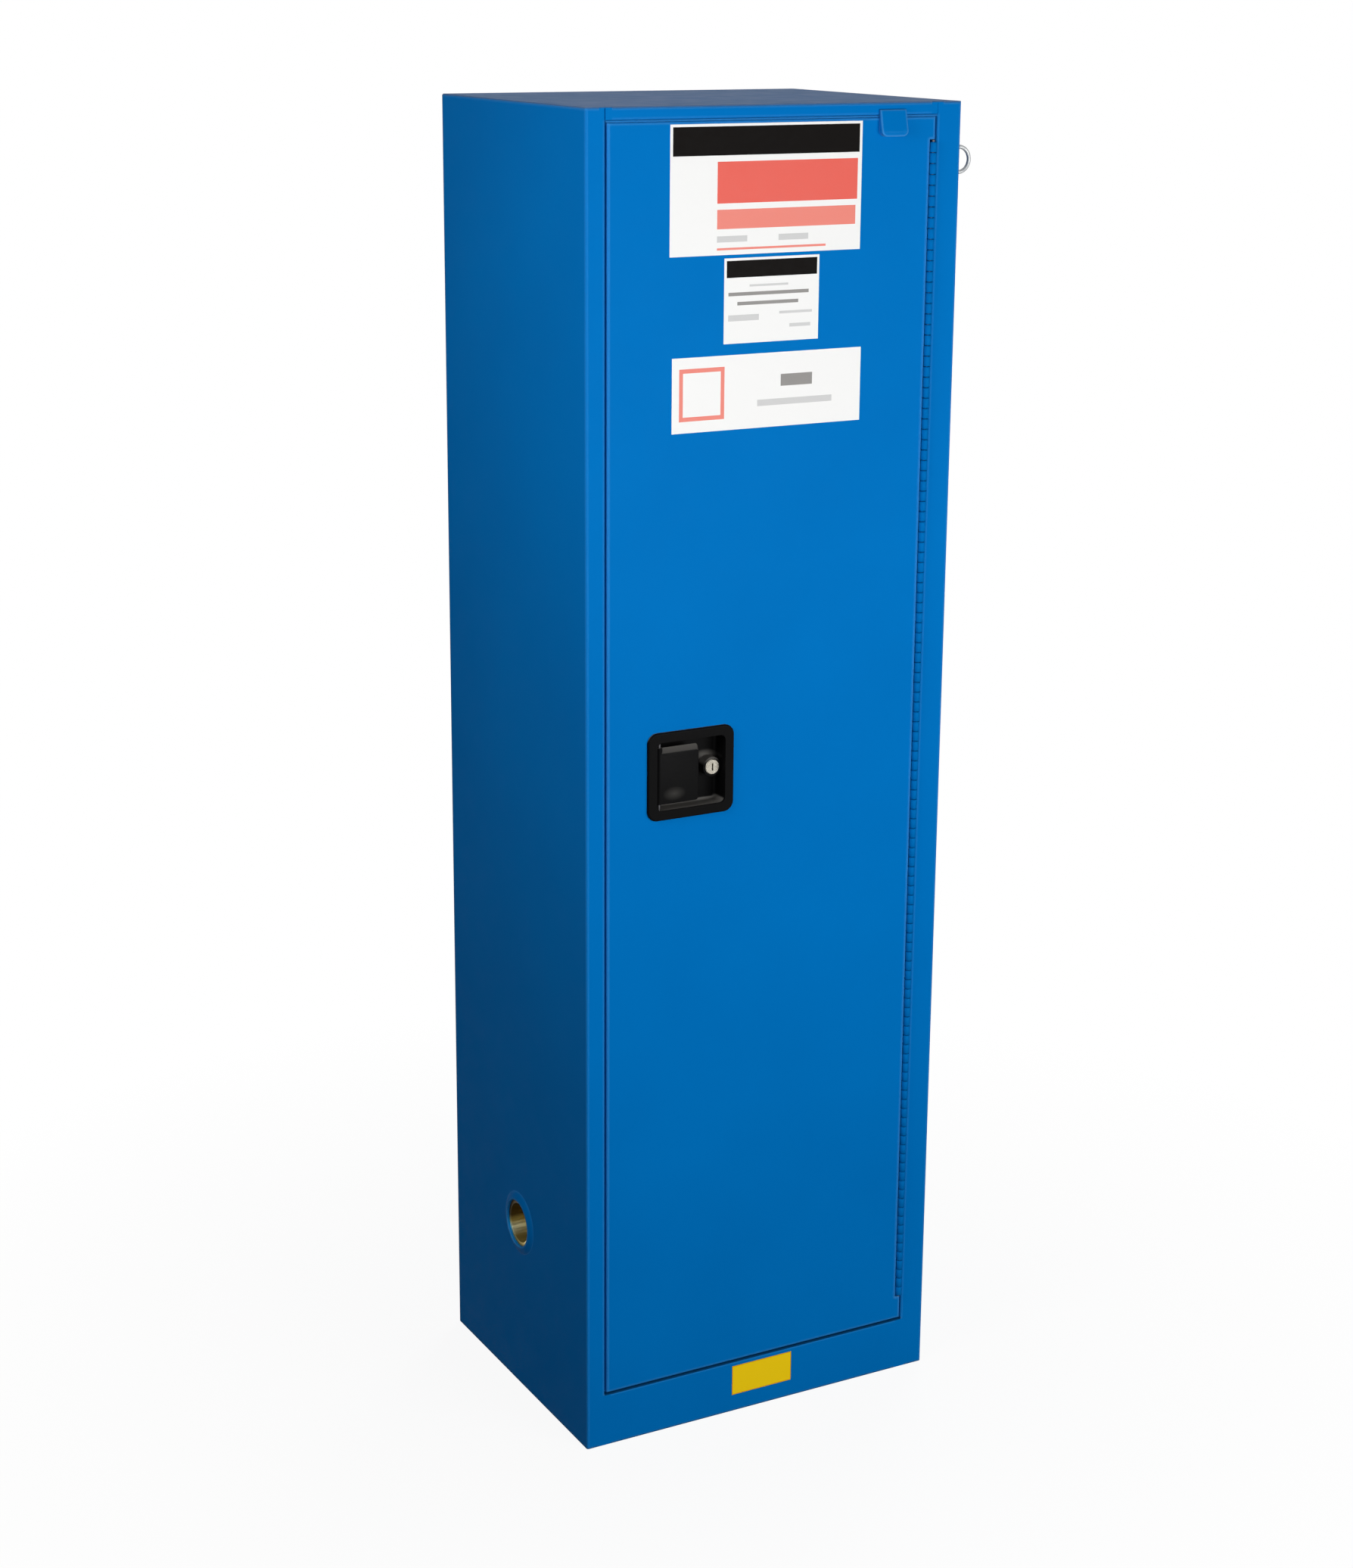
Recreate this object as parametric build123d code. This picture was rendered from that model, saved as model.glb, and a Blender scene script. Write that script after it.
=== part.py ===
from build123d import *
import os

# Slim one-door safety cabinet with double steel walls, in millimetres.
# Origin on the floor under the middle of the case, +X to the hinge side, -Y to the front, +Z up.

# Case
WIDTH = 500.0
DEPTH = 390.0
HEIGHT = 1651.0
SKIN = 1.2
AIR_SPACE = 38.0
BEND_RADIUS = 2.5
EDGE_ROUND = 0.8
WELD_FLANGE = 15.0
OVERRUN = 5.0

# Front frame
LEFT_STILE = 25.0
RIGHT_STILE = 34.0
TOP_RAIL = 15.0
SILL_RAIL = 70.0
STOP_GAP = 2.0
STOP_LAP = 12.0

# Door
DOOR_THICK = 38.0
DOOR_GAP = 2.2
DOOR_PROUD = 0.5
DOOR_EDGE_ROUND = 2.0

# Leak-proof floor
SUMP_FLOOR = 34.0
SUMP_DEPTH = 51.0

# Piano hinge
HINGE_BOTTOM = 106.0
HINGE_PAIRS = 59
KNUCKLE_PITCH = 25.4
KNUCKLE_GAP = 0.6
KNUCKLE_SIDES = 8
BARREL_RADIUS = 4.4
HINGE_POCKET = 8.0
LEAF_THICK = 1.5
LEAF_WIDTH = 26.0
LEAF_CLEARANCE = 0.8
PIN_RADIUS = 1.7
PIN_CLEARANCE = 0.1
PIN_END = 2.0

# Adjustable shelves on slotted standards
STANDARD_WIDTH = 20.0
STANDARD_DEPTH = 6.0
STANDARD_INSET = 26.0
STANDARD_END = 15.0
SLOT_PITCH = 57.15
SLOT_FIRST = 30.0
SLOT_WIDTH = 3.2
SLOT_HEIGHT = 15.0
SHELF_SLOTS = (5, 12, 19)
SHELF_FLANGE = 20.0
SHELF_SIDE_GAP = 2.0
SHELF_END_GAP = 14.0
CLIP_WIDTH = 16.0
CLIP_REACH = 14.0
CLIP_HEIGHT = 18.0
CLIP_THICK = 2.0
HOOK_WIDTH = 2.6
HOOK_HEIGHT = 5.0
HOOK_REACH = 4.0

# Vents
LOWER_VENT_HEIGHT = 229.0
UPPER_VENT_DROP = 221.0
VENT_BORE = 26.0
VENT_BORE_LENGTH = 26.0
VENT_THROAT = 22.0
VENT_OUTER = 31.0
VENT_FLANGE = 38.0
VENT_FLANGE_THICK = 3.0
COLLAR_OUTER = 41.0
COLLAR_HEIGHT = 4.0
SCREEN_THICK = 2.0
SCREEN_BAR = 2.2
SCREEN_CELL = 6.6

# Hold-open eye bolt and ground stud on the right side
EYE_FROM_FRONT = 38.0
EYE_DROP = 71.0
EYE_RADIUS = 15.0
EYE_WIRE = 2.5
EYE_STAND = 6.2
EYE_TAIL = 16.0
NUT_ACROSS = 11.0
NUT_THICK = 5.0
GROUND_FROM_BACK = 70.0
GROUND_HEIGHT = 150.0
GROUND_RADIUS = 3.0
GROUND_LENGTH = 20.0
GROUND_NECK = 2.4
GROUND_NECK_LENGTH = 1.5

# Levelling feet
FOOT_INSET = 42.0
FOOT_RADIUS = 16.0
FOOT_PAD = 6.0
FOOT_LIFT = 1.0
FOOT_STUD = 5.0
FOOT_STUD_LENGTH = 48.0
FOOT_NUT_ACROSS = 17.0
FOOT_NUT_THICK = 8.0
THREAD_CLEARANCE = 0.1

# Hold-open catch on the door
CATCH_FROM_AXIS = 58.5
CATCH_WIDTH = 36.0
CATCH_HEIGHT = 31.0
CATCH_RISE = 9.0
CATCH_REACH = 8.0
CATCH_SHEET = 2.0
CATCH_LIP = 5.0
CATCH_CORNER = 7.0

# Flush paddle handle
HANDLE_FROM_EDGE = 111.8
HANDLE_HEIGHT = 869.0
BEZEL_WIDTH = 117.0
BEZEL_HEIGHT = 109.0
BEZEL_CORNER = 13.0
BEZEL_PROUD = 4.0
BEZEL_EDGE = 2.0
RIM_WIDTH = 12.0
DISH_CORNER = 7.0
DISH_DEPTH = 20.0
DISH_WALL = 2.5
DISH_FILLET = 4.0
CUTOUT_CLEARANCE = 0.5
CLAMP_THICK = 2.0
CLAMP_MARGIN = 6.0
SCREW_RADIUS = 1.8
SCREW_HEAD = 3.4
SCREW_HEAD_THICK = 2.2
SCREW_REACH = 2.5

# Paddle inside the dish
PADDLE_WIDTH = 52.0
PADDLE_HEIGHT = 70.0
PADDLE_GAP = 1.5
PADDLE_SUNK = 2.5
PADDLE_THICK = 3.5
PADDLE_BARREL = 4.0
PADDLE_CORNER = 4.0
PADDLE_PIN = 1.8
PADDLE_PIN_GAP = 0.1
SPRING_LENGTH = 14.0
SPRING_WALL = 1.2
SPRING_GAP = 0.3
TAIL_THICK = 4.0
TAIL_TOP_DROP = 6.0
TAIL_BOTTOM_DROP = 31.0
TAIL_LENGTH = 25.5
PULL_ANGLE = 35.0

# Three-point latch behind the handle
CAM_BEHIND_DISH = 1.0
CAM_THICK = 3.0
CAM_HUB = 9.0
CAM_ARM = 18.0
CAM_EYE = 6.0
CAM_TURN = 30.0
CAM_DRIVE_DROP = 10.0
FORK_LENGTH = 6.0
FORK_WIDTH = 14.0
FORK_SLOT = 9.0
POST_RADIUS = 4.0
POST_HEAD = 6.5
POST_HEAD_THICK = 1.5
RUNNING_GAP = 0.1
STUD_RADIUS = 2.5
STUD_PLAY = 0.4
ROD_WIDTH = 14.0
ROD_THICK = 3.0
ROD_GAP = 0.8
BULLET_RADIUS = 6.0
BULLET_LENGTH = 34.0
BULLET_HOLE = 6.5
BOLT_HEIGHT = 14.0
BOLT_DROP = 26.0
BOLT_THICK = 3.0
LATCH_SHORT = 0.6
BOLT_SLOT = 9.0
BOLT_END = 6.0
GUIDE_HEIGHT = 18.0
GUIDE_SHEET = 1.5
GUIDE_GAP = 0.4
GUIDE_FROM_END = 90.0
STRIKE_THICK = 1.5
STRIKE_MARGIN = 9.0
STRIKE_HOLE = 7.5

# Key lock
LOCK_RIGHT = 34.0
LOCK_UP = 1.0
LOCK_BOSS = 12.0
LOCK_BOSS_DEPTH = 7.0
LOCK_RADIUS = 9.5
LOCK_PROUD = 1.5
LOCK_TAIL = 3.0
LOCK_GAP = 0.1
KEYWAY_LENGTH = 9.0
KEYWAY_WIDTH = 2.0
KEYWAY_DEPTH = 6.0
LOCK_CAM_LENGTH = 20.0
LOCK_CAM_WIDTH = 10.0
LOCK_CAM_THICK = 2.5

# Planes and edges that the pieces share
X_LEFT = -WIDTH / 2
X_RIGHT = WIDTH / 2
Y_FRONT = -DEPTH / 2
Y_BACK = DEPTH / 2
TOP_UNDER = HEIGHT - SKIN
JAMB_L = X_LEFT + LEFT_STILE
JAMB_R = X_RIGHT - RIGHT_STILE
RAIL_UNDER = HEIGHT - TOP_RAIL
DOOR_L = JAMB_L + DOOR_GAP
DOOR_R = JAMB_R - DOOR_GAP
DOOR_BOTTOM = SILL_RAIL + DOOR_GAP
DOOR_TOP = RAIL_UNDER - DOOR_GAP
FACE = Y_FRONT - DOOR_PROUD
DOOR_BACK = FACE + DOOR_THICK
STOP_FRONT = DOOR_BACK + STOP_GAP
STOP_BACK = STOP_FRONT + SKIN
POCKET_X = DOOR_R - HINGE_POCKET
STOP_R = POCKET_X - STOP_LAP
LINER_L = X_LEFT + SKIN + AIR_SPACE + SKIN
LINER_R = -LINER_L
LINER_BACK = Y_BACK - SKIN - AIR_SPACE - SKIN
LINER_TOP = TOP_UNDER - AIR_SPACE - SKIN
SUMP_TOP = SUMP_FLOOR + SUMP_DEPTH
BASE_TOP = SUMP_FLOOR - SKIN
HINGE_X = (POCKET_X + JAMB_R) / 2
HINGE_Y = FACE
HINGE_TOP = HINGE_BOTTOM + HINGE_PAIRS * KNUCKLE_PITCH
VENT_Y = (Y_FRONT + Y_BACK) / 2
UPPER_VENT_HEIGHT = HEIGHT - UPPER_VENT_DROP
EYE_X = X_RIGHT + EYE_STAND + EYE_WIRE + EYE_RADIUS
EYE_Y = Y_FRONT + EYE_FROM_FRONT
EYE_HEIGHT = HEIGHT - EYE_DROP
GROUND_Y = Y_BACK - GROUND_FROM_BACK
FOOT_X = X_RIGHT - SKIN - AIR_SPACE / 2
FOOT_Y = Y_BACK - FOOT_INSET
HANDLE_X = DOOR_L + HANDLE_FROM_EDGE
DISH_WIDTH = BEZEL_WIDTH - 2 * RIM_WIDTH
DISH_HEIGHT = BEZEL_HEIGHT - 2 * RIM_WIDTH
DISH_FLOOR = FACE + DISH_DEPTH
DISH_BACK = DISH_FLOOR + DISH_WALL
PADDLE_FRONT = FACE - BEZEL_PROUD + PADDLE_SUNK
PADDLE_X = HANDLE_X - DISH_WIDTH / 2 + PADDLE_GAP + PADDLE_BARREL
PADDLE_Y = PADDLE_FRONT + PADDLE_BARREL
PADDLE_HALF = PADDLE_HEIGHT / 2
TAIL_TOP = HANDLE_HEIGHT - TAIL_TOP_DROP
TAIL_BOTTOM = HANDLE_HEIGHT - TAIL_BOTTOM_DROP
CAM_FRONT = DISH_BACK + CAM_BEHIND_DISH
CAM_BACK = CAM_FRONT + CAM_THICK
ROD_FRONT = CAM_BACK + ROD_GAP
ROD_BACK = ROD_FRONT + ROD_THICK
ROD_Y = (ROD_FRONT + ROD_BACK) / 2
LOCK_X = HANDLE_X + LOCK_RIGHT
LOCK_Z = HANDLE_HEIGHT + LOCK_UP
LOCK_FACE = FACE + LOCK_BOSS_DEPTH - LOCK_PROUD

# Throw of the latch, worked out from the angle through which the paddle is pulled
PULL_SINE = Vector(1, 0).rotate(Axis.Z, PULL_ANGLE).Y
HALF_TURN_SINE = Vector(1, 0).rotate(Axis.Z, CAM_TURN / 2).Y
HALF_TURN_COSINE = Vector(1, 0).rotate(Axis.Z, CAM_TURN / 2).X
CAM_SWEEP = ((CAM_FRONT + CAM_BACK) / 2 - PADDLE_Y) * PULL_SINE
CAM_DRIVE = CAM_SWEEP / HALF_TURN_SINE / 2
CAM_X = PADDLE_X + CAM_SWEEP / 2
CAM_Z = HANDLE_HEIGHT - CAM_DRIVE_DROP + CAM_DRIVE * HALF_TURN_COSINE
STUD_SIDE = CAM_ARM * HALF_TURN_COSINE
STUD_RISE = CAM_ARM * HALF_TURN_SINE
TOP_ROD_X = CAM_X - STUD_SIDE
BOTTOM_ROD_X = CAM_X + STUD_SIDE
BOLT_BACK = CAM_FRONT + BOLT_THICK
BOLT_Z = HANDLE_HEIGHT - BOLT_DROP
LATCH_OUT = DOOR_GAP - LATCH_SHORT


def block(x0, x1, y0, y1, z0, z1):
    """A rectangular block between two opposite corners."""
    corner = Pos(min(x0, x1), y0, z0)
    return corner * Box(abs(x1 - x0), y1 - y0, z1 - z0, align=Align.MIN)


def bar(radius, start, end):
    """A round bar between two points."""
    run = Vector(end) - Vector(start)
    seat = (Align.CENTER, Align.CENTER, Align.MIN)
    return Plane(Vector(start), z_dir=run) * Cylinder(radius, run.length, align=seat)


def side_bar(radius, x0, x1, y, z):
    """A round bar that runs across the cabinet."""
    return bar(radius, (x0, y, z), (x1, y, z))


def sheet(points, side):
    """The cut face of a folded sheet: its corner points, with the metal on one side of the line."""
    fold = FilletPolyline(*points, radius=BEND_RADIUS)
    return Face(fold.offset_2d(SKIN, side=side))


def plan_sheet(points, side, z0, z1):
    """A folded sheet drawn in plan and run upwards."""
    return Pos(0, 0, z0) * extrude(sheet(points, side), z1 - z0, dir=(0, 0, 1))


def section_sheet(points, side, x0, x1):
    """A folded sheet drawn in side section and run across the cabinet."""
    return Pos(x0, 0, 0) * extrude(Plane.YZ * sheet(points, side), x1 - x0, dir=(1, 0, 0))


def front_sheet(points, side, y0, y1):
    """A folded sheet drawn in front section and run from front to back."""
    return Pos(0, y0, 0) * extrude(Plane.XZ * sheet(points, side), y1 - y0, dir=(0, 1, 0))


def front_plate(outline, y0, y1):
    """A plate whose outline is drawn as seen from the front."""
    return Pos(0, y0, 0) * extrude(Plane.XZ * outline, y1 - y0, dir=(0, 1, 0))


def hex_nut(across, thick, bore, start, direction):
    """A hexagon nut that stands on a point and runs in one direction."""
    outline = RegularPolygon(across / 2, side_count=6, major_radius=False) - Circle(bore)
    return Plane(Vector(start), z_dir=Vector(direction)) * extrude(outline, thick)


def outer_side(wall, jamb, stop, metal):
    """A side panel whose front edge is folded into the stile, the door jamb and the door stop."""
    skirt = [(wall, Y_BACK), (wall, Y_FRONT), (jamb, Y_FRONT)]
    frame = skirt + [(jamb, STOP_FRONT), (stop, STOP_FRONT)]
    low = plan_sheet(skirt, metal, 0, SILL_RAIL)
    return low + plan_sheet(frame, metal, SILL_RAIL, TOP_UNDER)


def vent_collar(wall, out, z):
    """The raised ring that is drawn out of a side panel round a vent."""
    profile = Polygon((VENT_OUTER, 0), (COLLAR_OUTER, 0), (VENT_OUTER + SKIN, COLLAR_HEIGHT),
                      (VENT_OUTER, COLLAR_HEIGHT), align=None)
    ring = revolve(Plane.XZ * profile, Axis.Z)
    return Plane((wall, VENT_Y, z), z_dir=(out, 0, 0)) * ring


def vent_hole(x, z):
    """The round cut through one wall for a vent bush."""
    return side_bar(VENT_OUTER, x - SKIN - OVERRUN, x + SKIN + OVERRUN, VENT_Y, z)


def outer_left_side():
    panel = outer_side(X_LEFT, JAMB_L, LINER_L, Side.LEFT)
    panel -= vent_hole(X_LEFT, LOWER_VENT_HEIGHT)
    panel += vent_collar(X_LEFT, -1, LOWER_VENT_HEIGHT)
    half = BOLT_HEIGHT / 2 + STRIKE_THICK
    y0 = CAM_FRONT - STRIKE_THICK
    y1 = BOLT_BACK + STRIKE_THICK
    return panel - block(JAMB_L - SKIN - OVERRUN, JAMB_L + OVERRUN, y0, y1, BOLT_Z - half, BOLT_Z + half)


def outer_right_side():
    panel = outer_side(X_RIGHT, JAMB_R, STOP_R, Side.RIGHT)
    panel -= vent_hole(X_RIGHT, UPPER_VENT_HEIGHT)
    panel += vent_collar(X_RIGHT, 1, UPPER_VENT_HEIGHT)
    panel -= side_bar(EYE_WIRE, X_RIGHT - OVERRUN, X_RIGHT + OVERRUN, EYE_Y, EYE_HEIGHT)
    return panel - side_bar(GROUND_RADIUS, X_RIGHT - OVERRUN, X_RIGHT + OVERRUN, GROUND_Y, GROUND_HEIGHT)


def outer_back():
    left = X_LEFT + SKIN
    right = X_RIGHT - SKIN
    edge = Y_BACK - WELD_FLANGE
    points = [(left, edge), (left, Y_BACK), (right, Y_BACK), (right, edge)]
    return plan_sheet(points, Side.RIGHT, 0, TOP_UNDER)


def outer_top():
    plate = Pos(0, 0, TOP_UNDER) * extrude(RectangleRounded(WIDTH, DEPTH, BEND_RADIUS), SKIN)
    return fillet(plate.faces().sort_by(Axis.Z)[-1].edges(), EDGE_ROUND)


def front_top_rail():
    edge = [(Y_FRONT, TOP_UNDER), (Y_FRONT, RAIL_UNDER)]
    stop = [(STOP_FRONT, RAIL_UNDER), (STOP_FRONT, LINER_TOP)]
    rail = section_sheet(edge + stop, Side.LEFT, JAMB_L, JAMB_R)
    rail -= stop_notches(LINER_TOP - OVERRUN, TOP_UNDER)
    low = (TOP_ROD_X, ROD_Y, RAIL_UNDER - OVERRUN)
    return rail - bar(BULLET_HOLE, low, (TOP_ROD_X, ROD_Y, RAIL_UNDER + OVERRUN))


def front_sill_rail():
    edge = [(Y_FRONT, 0), (Y_FRONT, SILL_RAIL)]
    stop = [(STOP_FRONT, SILL_RAIL), (STOP_FRONT, SUMP_TOP)]
    rail = section_sheet(edge + stop, Side.RIGHT, JAMB_L, JAMB_R)
    rail -= stop_notches(SILL_RAIL, SUMP_TOP + OVERRUN)
    low = (BOTTOM_ROD_X, ROD_Y, SILL_RAIL - OVERRUN)
    return rail - bar(BULLET_HOLE, low, (BOTTOM_ROD_X, ROD_Y, SILL_RAIL + OVERRUN))


def stop_notches(z0, z1):
    """Cuts that let a rail's stop flange pass between the stop flanges of the two stiles."""
    y0 = STOP_FRONT - BEND_RADIUS
    y1 = STOP_BACK + OVERRUN
    left = block(JAMB_L - OVERRUN, LINER_L, y0, y1, z0, z1)
    return left + block(STOP_R, JAMB_R + OVERRUN, y0, y1, z0, z1)


def base_pan():
    """The inverted tray inside the skirt: it stands on the floor and carries the sump and the feet."""
    left = X_LEFT + SKIN
    front = Y_FRONT + BEND_RADIUS
    back = Y_BACK - WELD_FLANGE
    pan = block(left, -left, front, back, 0, BASE_TOP)
    pan = fillet(pan.edges().group_by(Axis.Z)[-1] + pan.edges().filter_by(Axis.Z), BEND_RADIUS)
    room = block(left + SKIN, -left - SKIN, front + SKIN, back - SKIN, -OVERRUN, BASE_TOP - SKIN)
    round_in = BEND_RADIUS - SKIN
    pan -= fillet(room.edges().group_by(Axis.Z)[-1] + room.edges().filter_by(Axis.Z), round_in)
    for x, y in foot_places():
        pan -= bar(FOOT_STUD + THREAD_CLEARANCE, (x, y, BASE_TOP - OVERRUN), (x, y, BASE_TOP + OVERRUN))
    return pan


def foot_places():
    return [(-FOOT_X, -FOOT_Y), (FOOT_X, -FOOT_Y), (-FOOT_X, FOOT_Y), (FOOT_X, FOOT_Y)]


def foot_nuts():
    bore = FOOT_STUD + THREAD_CLEARANCE
    nut = hex_nut(FOOT_NUT_ACROSS, FOOT_NUT_THICK, bore, (0, 0, BASE_TOP - SKIN), (0, 0, -1))
    return [Pos(x, y, 0) * nut for x, y in foot_places()]


def foot(x, y):
    pad_top = FOOT_LIFT + FOOT_PAD
    pad = bar(FOOT_RADIUS, (x, y, FOOT_LIFT), (x, y, pad_top))
    pad = chamfer(pad.edges().sort_by(Axis.Z)[-1], FOOT_PAD / 2)
    return pad + bar(FOOT_STUD, (x, y, pad_top), (x, y, pad_top + FOOT_STUD_LENGTH))


def liner_left_side():
    points = [(LINER_L, STOP_BACK), (LINER_L, LINER_BACK), (LINER_L + WELD_FLANGE, LINER_BACK)]
    wall = plan_sheet(points, Side.LEFT, BASE_TOP, LINER_TOP - BEND_RADIUS)
    return wall - vent_hole(LINER_L, LOWER_VENT_HEIGHT)


def liner_right_side():
    points = [(LINER_R, STOP_BACK), (LINER_R, LINER_BACK), (LINER_R - WELD_FLANGE, LINER_BACK)]
    wall = plan_sheet(points, Side.RIGHT, BASE_TOP, LINER_TOP - BEND_RADIUS)
    return wall - vent_hole(LINER_R, UPPER_VENT_HEIGHT)


def liner_back():
    left = LINER_L + BEND_RADIUS
    return block(left, LINER_R - BEND_RADIUS, LINER_BACK - SKIN, LINER_BACK, BASE_TOP, LINER_TOP)


def liner_top():
    left = LINER_L - SKIN
    right = LINER_R + SKIN
    edge = LINER_TOP - WELD_FLANGE
    points = [(left, edge), (left, LINER_TOP), (right, LINER_TOP), (right, edge)]
    return front_sheet(points, Side.LEFT, STOP_BACK, LINER_BACK + SKIN)


def sump_pan():
    back = LINER_BACK - SKIN
    pan = block(LINER_L, LINER_R, STOP_BACK, back, BASE_TOP, SUMP_TOP)
    pan = fillet(pan.edges().group_by(Axis.Z)[0] + pan.edges().filter_by(Axis.Z), BEND_RADIUS)
    room = block(LINER_L + SKIN, LINER_R - SKIN, STOP_BACK + SKIN, back - SKIN,
                 SUMP_FLOOR, SUMP_TOP + OVERRUN)
    round_in = BEND_RADIUS - SKIN
    return pan - fillet(room.edges().group_by(Axis.Z)[0] + room.edges().filter_by(Axis.Z), round_in)


def standard_places():
    front = STOP_BACK + STANDARD_INSET
    return [front, LINER_BACK - SKIN - STANDARD_INSET - STANDARD_WIDTH]


def slot_height(number):
    return SUMP_TOP + STANDARD_END + SLOT_FIRST + number * SLOT_PITCH


def slot_count():
    return int((LINER_TOP - STANDARD_END - SLOT_FIRST - slot_height(0)) // SLOT_PITCH) + 1


def standard(y):
    """One slotted upright on the left wall of the liner."""
    face = LINER_L + STANDARD_DEPTH
    points = [(LINER_L, y), (face, y), (face, y + STANDARD_WIDTH), (LINER_L, y + STANDARD_WIDTH)]
    upright = plan_sheet(points, Side.LEFT, SUMP_TOP + STANDARD_END, LINER_TOP - STANDARD_END)
    middle = y + STANDARD_WIDTH / 2
    slots = []
    for number in range(slot_count()):
        z = slot_height(number)
        slots.append(block(face - SKIN - OVERRUN / 2, face + OVERRUN, middle - SLOT_WIDTH / 2,
                           middle + SLOT_WIDTH / 2, z - SLOT_HEIGHT, z))
    return upright - slots


def shelf_standards():
    left = [standard(y) for y in standard_places()]
    return left + [mirror(upright, about=Plane.YZ) for upright in left]


def shelf_clip(y, z):
    """A bent clip on the left wall: its hook sits in a slot and its tongue carries the shelf."""
    face = LINER_L + STANDARD_DEPTH
    middle = y + STANDARD_WIDTH / 2
    y0 = middle - CLIP_WIDTH / 2
    y1 = middle + CLIP_WIDTH / 2
    clip = block(face, face + CLIP_THICK, y0, y1, z - CLIP_HEIGHT, z)
    clip += block(face, face + CLIP_REACH, y0, y1, z - CLIP_THICK, z)
    hook_top = z - CLIP_THICK
    hook = block(face - HOOK_REACH, face, middle - HOOK_WIDTH / 2, middle + HOOK_WIDTH / 2,
                 hook_top - HOOK_HEIGHT, hook_top)
    return clip + hook


def shelf_clips():
    clips = []
    for number in SHELF_SLOTS:
        for y in standard_places():
            left = shelf_clip(y, slot_height(number))
            clips += [left, mirror(left, about=Plane.YZ)]
    return clips


def shelf(number):
    """A galvanised shelf with folded front and back edges, resting on four clips."""
    top = slot_height(number) + SKIN
    front = STOP_BACK + SHELF_END_GAP
    back = LINER_BACK - SKIN - SHELF_END_GAP
    half = LINER_R - STANDARD_DEPTH - SHELF_SIDE_GAP
    edge = top - SHELF_FLANGE
    return section_sheet([(front, edge), (front, top), (back, top), (back, edge)], Side.RIGHT, -half, half)


def vent_bush(wall, inward, z):
    """A brass bush that joins both walls: open bore, throat for the screen, flange inside the liner."""
    reach = SKIN + AIR_SPACE + SKIN
    end = reach + VENT_FLANGE_THICK
    outline = Polygon((VENT_THROAT, VENT_BORE_LENGTH), (VENT_BORE, VENT_BORE_LENGTH), (VENT_BORE, 0),
                      (VENT_OUTER, 0), (VENT_OUTER, reach), (VENT_FLANGE, reach), (VENT_FLANGE, end),
                      (VENT_THROAT, end), align=None)
    return Plane((wall, VENT_Y, z), z_dir=(inward, 0, 0)) * revolve(Plane.XZ * outline, Axis.Z)


def flame_arrester(wall, inward, z):
    """A brass screen pressed into the throat of a vent bush."""
    depth = VENT_BORE_LENGTH + SKIN
    count = int(VENT_THROAT // SCREEN_CELL)
    opening = SCREEN_CELL - SCREEN_BAR
    cells = []
    for column in range(-count, count + 1):
        for row in range(-count, count + 1):
            cell = Pos(column * SCREEN_CELL, row * SCREEN_CELL) * Rectangle(opening, opening)
            if cell.center().length + SCREEN_CELL < VENT_THROAT:
                cells.append(cell)
    screen = extrude(Circle(VENT_THROAT) - cells, SCREEN_THICK)
    return Plane((wall + inward * depth, VENT_Y, z), z_dir=(inward, 0, 0)) * screen


def hold_open_eye():
    """A wire eye bolt: ring, shank through the side panel and threaded tail."""
    ring = Pos(EYE_X, EYE_Y, EYE_HEIGHT) * Rot(90, 0, 0) * Torus(EYE_RADIUS, EYE_WIRE)
    return ring + side_bar(EYE_WIRE, X_RIGHT - EYE_TAIL, EYE_X - EYE_RADIUS, EYE_Y, EYE_HEIGHT)


def hold_open_eye_nuts():
    inside = (X_RIGHT - SKIN, EYE_Y, EYE_HEIGHT)
    outside = (X_RIGHT, EYE_Y, EYE_HEIGHT)
    nut = hex_nut(NUT_ACROSS, NUT_THICK, EYE_WIRE, inside, (-1, 0, 0))
    return [nut, hex_nut(NUT_ACROSS, EYE_STAND / 2, EYE_WIRE, outside, (1, 0, 0))]


def ground_stud():
    """The stud for a grounding wire, with a neck turned between its nut and its free end."""
    end = X_RIGHT + GROUND_LENGTH
    neck = X_RIGHT + NUT_THICK
    stud = side_bar(GROUND_RADIUS, X_RIGHT - SKIN - NUT_THICK, neck, GROUND_Y, GROUND_HEIGHT)
    stud += side_bar(GROUND_NECK, neck, neck + GROUND_NECK_LENGTH, GROUND_Y, GROUND_HEIGHT)
    return stud + side_bar(GROUND_RADIUS, neck + GROUND_NECK_LENGTH, end, GROUND_Y, GROUND_HEIGHT)


def ground_nuts():
    inside = (X_RIGHT - SKIN, GROUND_Y, GROUND_HEIGHT)
    outside = (X_RIGHT, GROUND_Y, GROUND_HEIGHT)
    nut = hex_nut(NUT_ACROSS, NUT_THICK, GROUND_RADIUS, inside, (-1, 0, 0))
    return [nut, hex_nut(NUT_ACROSS, NUT_THICK, GROUND_RADIUS, outside, (1, 0, 0))]


def rod_strike(x, z0):
    """A plate behind a rail, with the hole that a bullet enters."""
    half = BULLET_RADIUS + STRIKE_MARGIN
    plate = block(x - half, x + half, ROD_Y - half, STOP_FRONT - BEND_RADIUS, z0, z0 + STRIKE_THICK)
    return plate - bar(STRIKE_HOLE, (x, ROD_Y, z0 - OVERRUN), (x, ROD_Y, z0 + OVERRUN))


def top_strike():
    return rod_strike(TOP_ROD_X, RAIL_UNDER + SKIN)


def bottom_strike():
    return rod_strike(BOTTOM_ROD_X, SILL_RAIL - SKIN - STRIKE_THICK)


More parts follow.
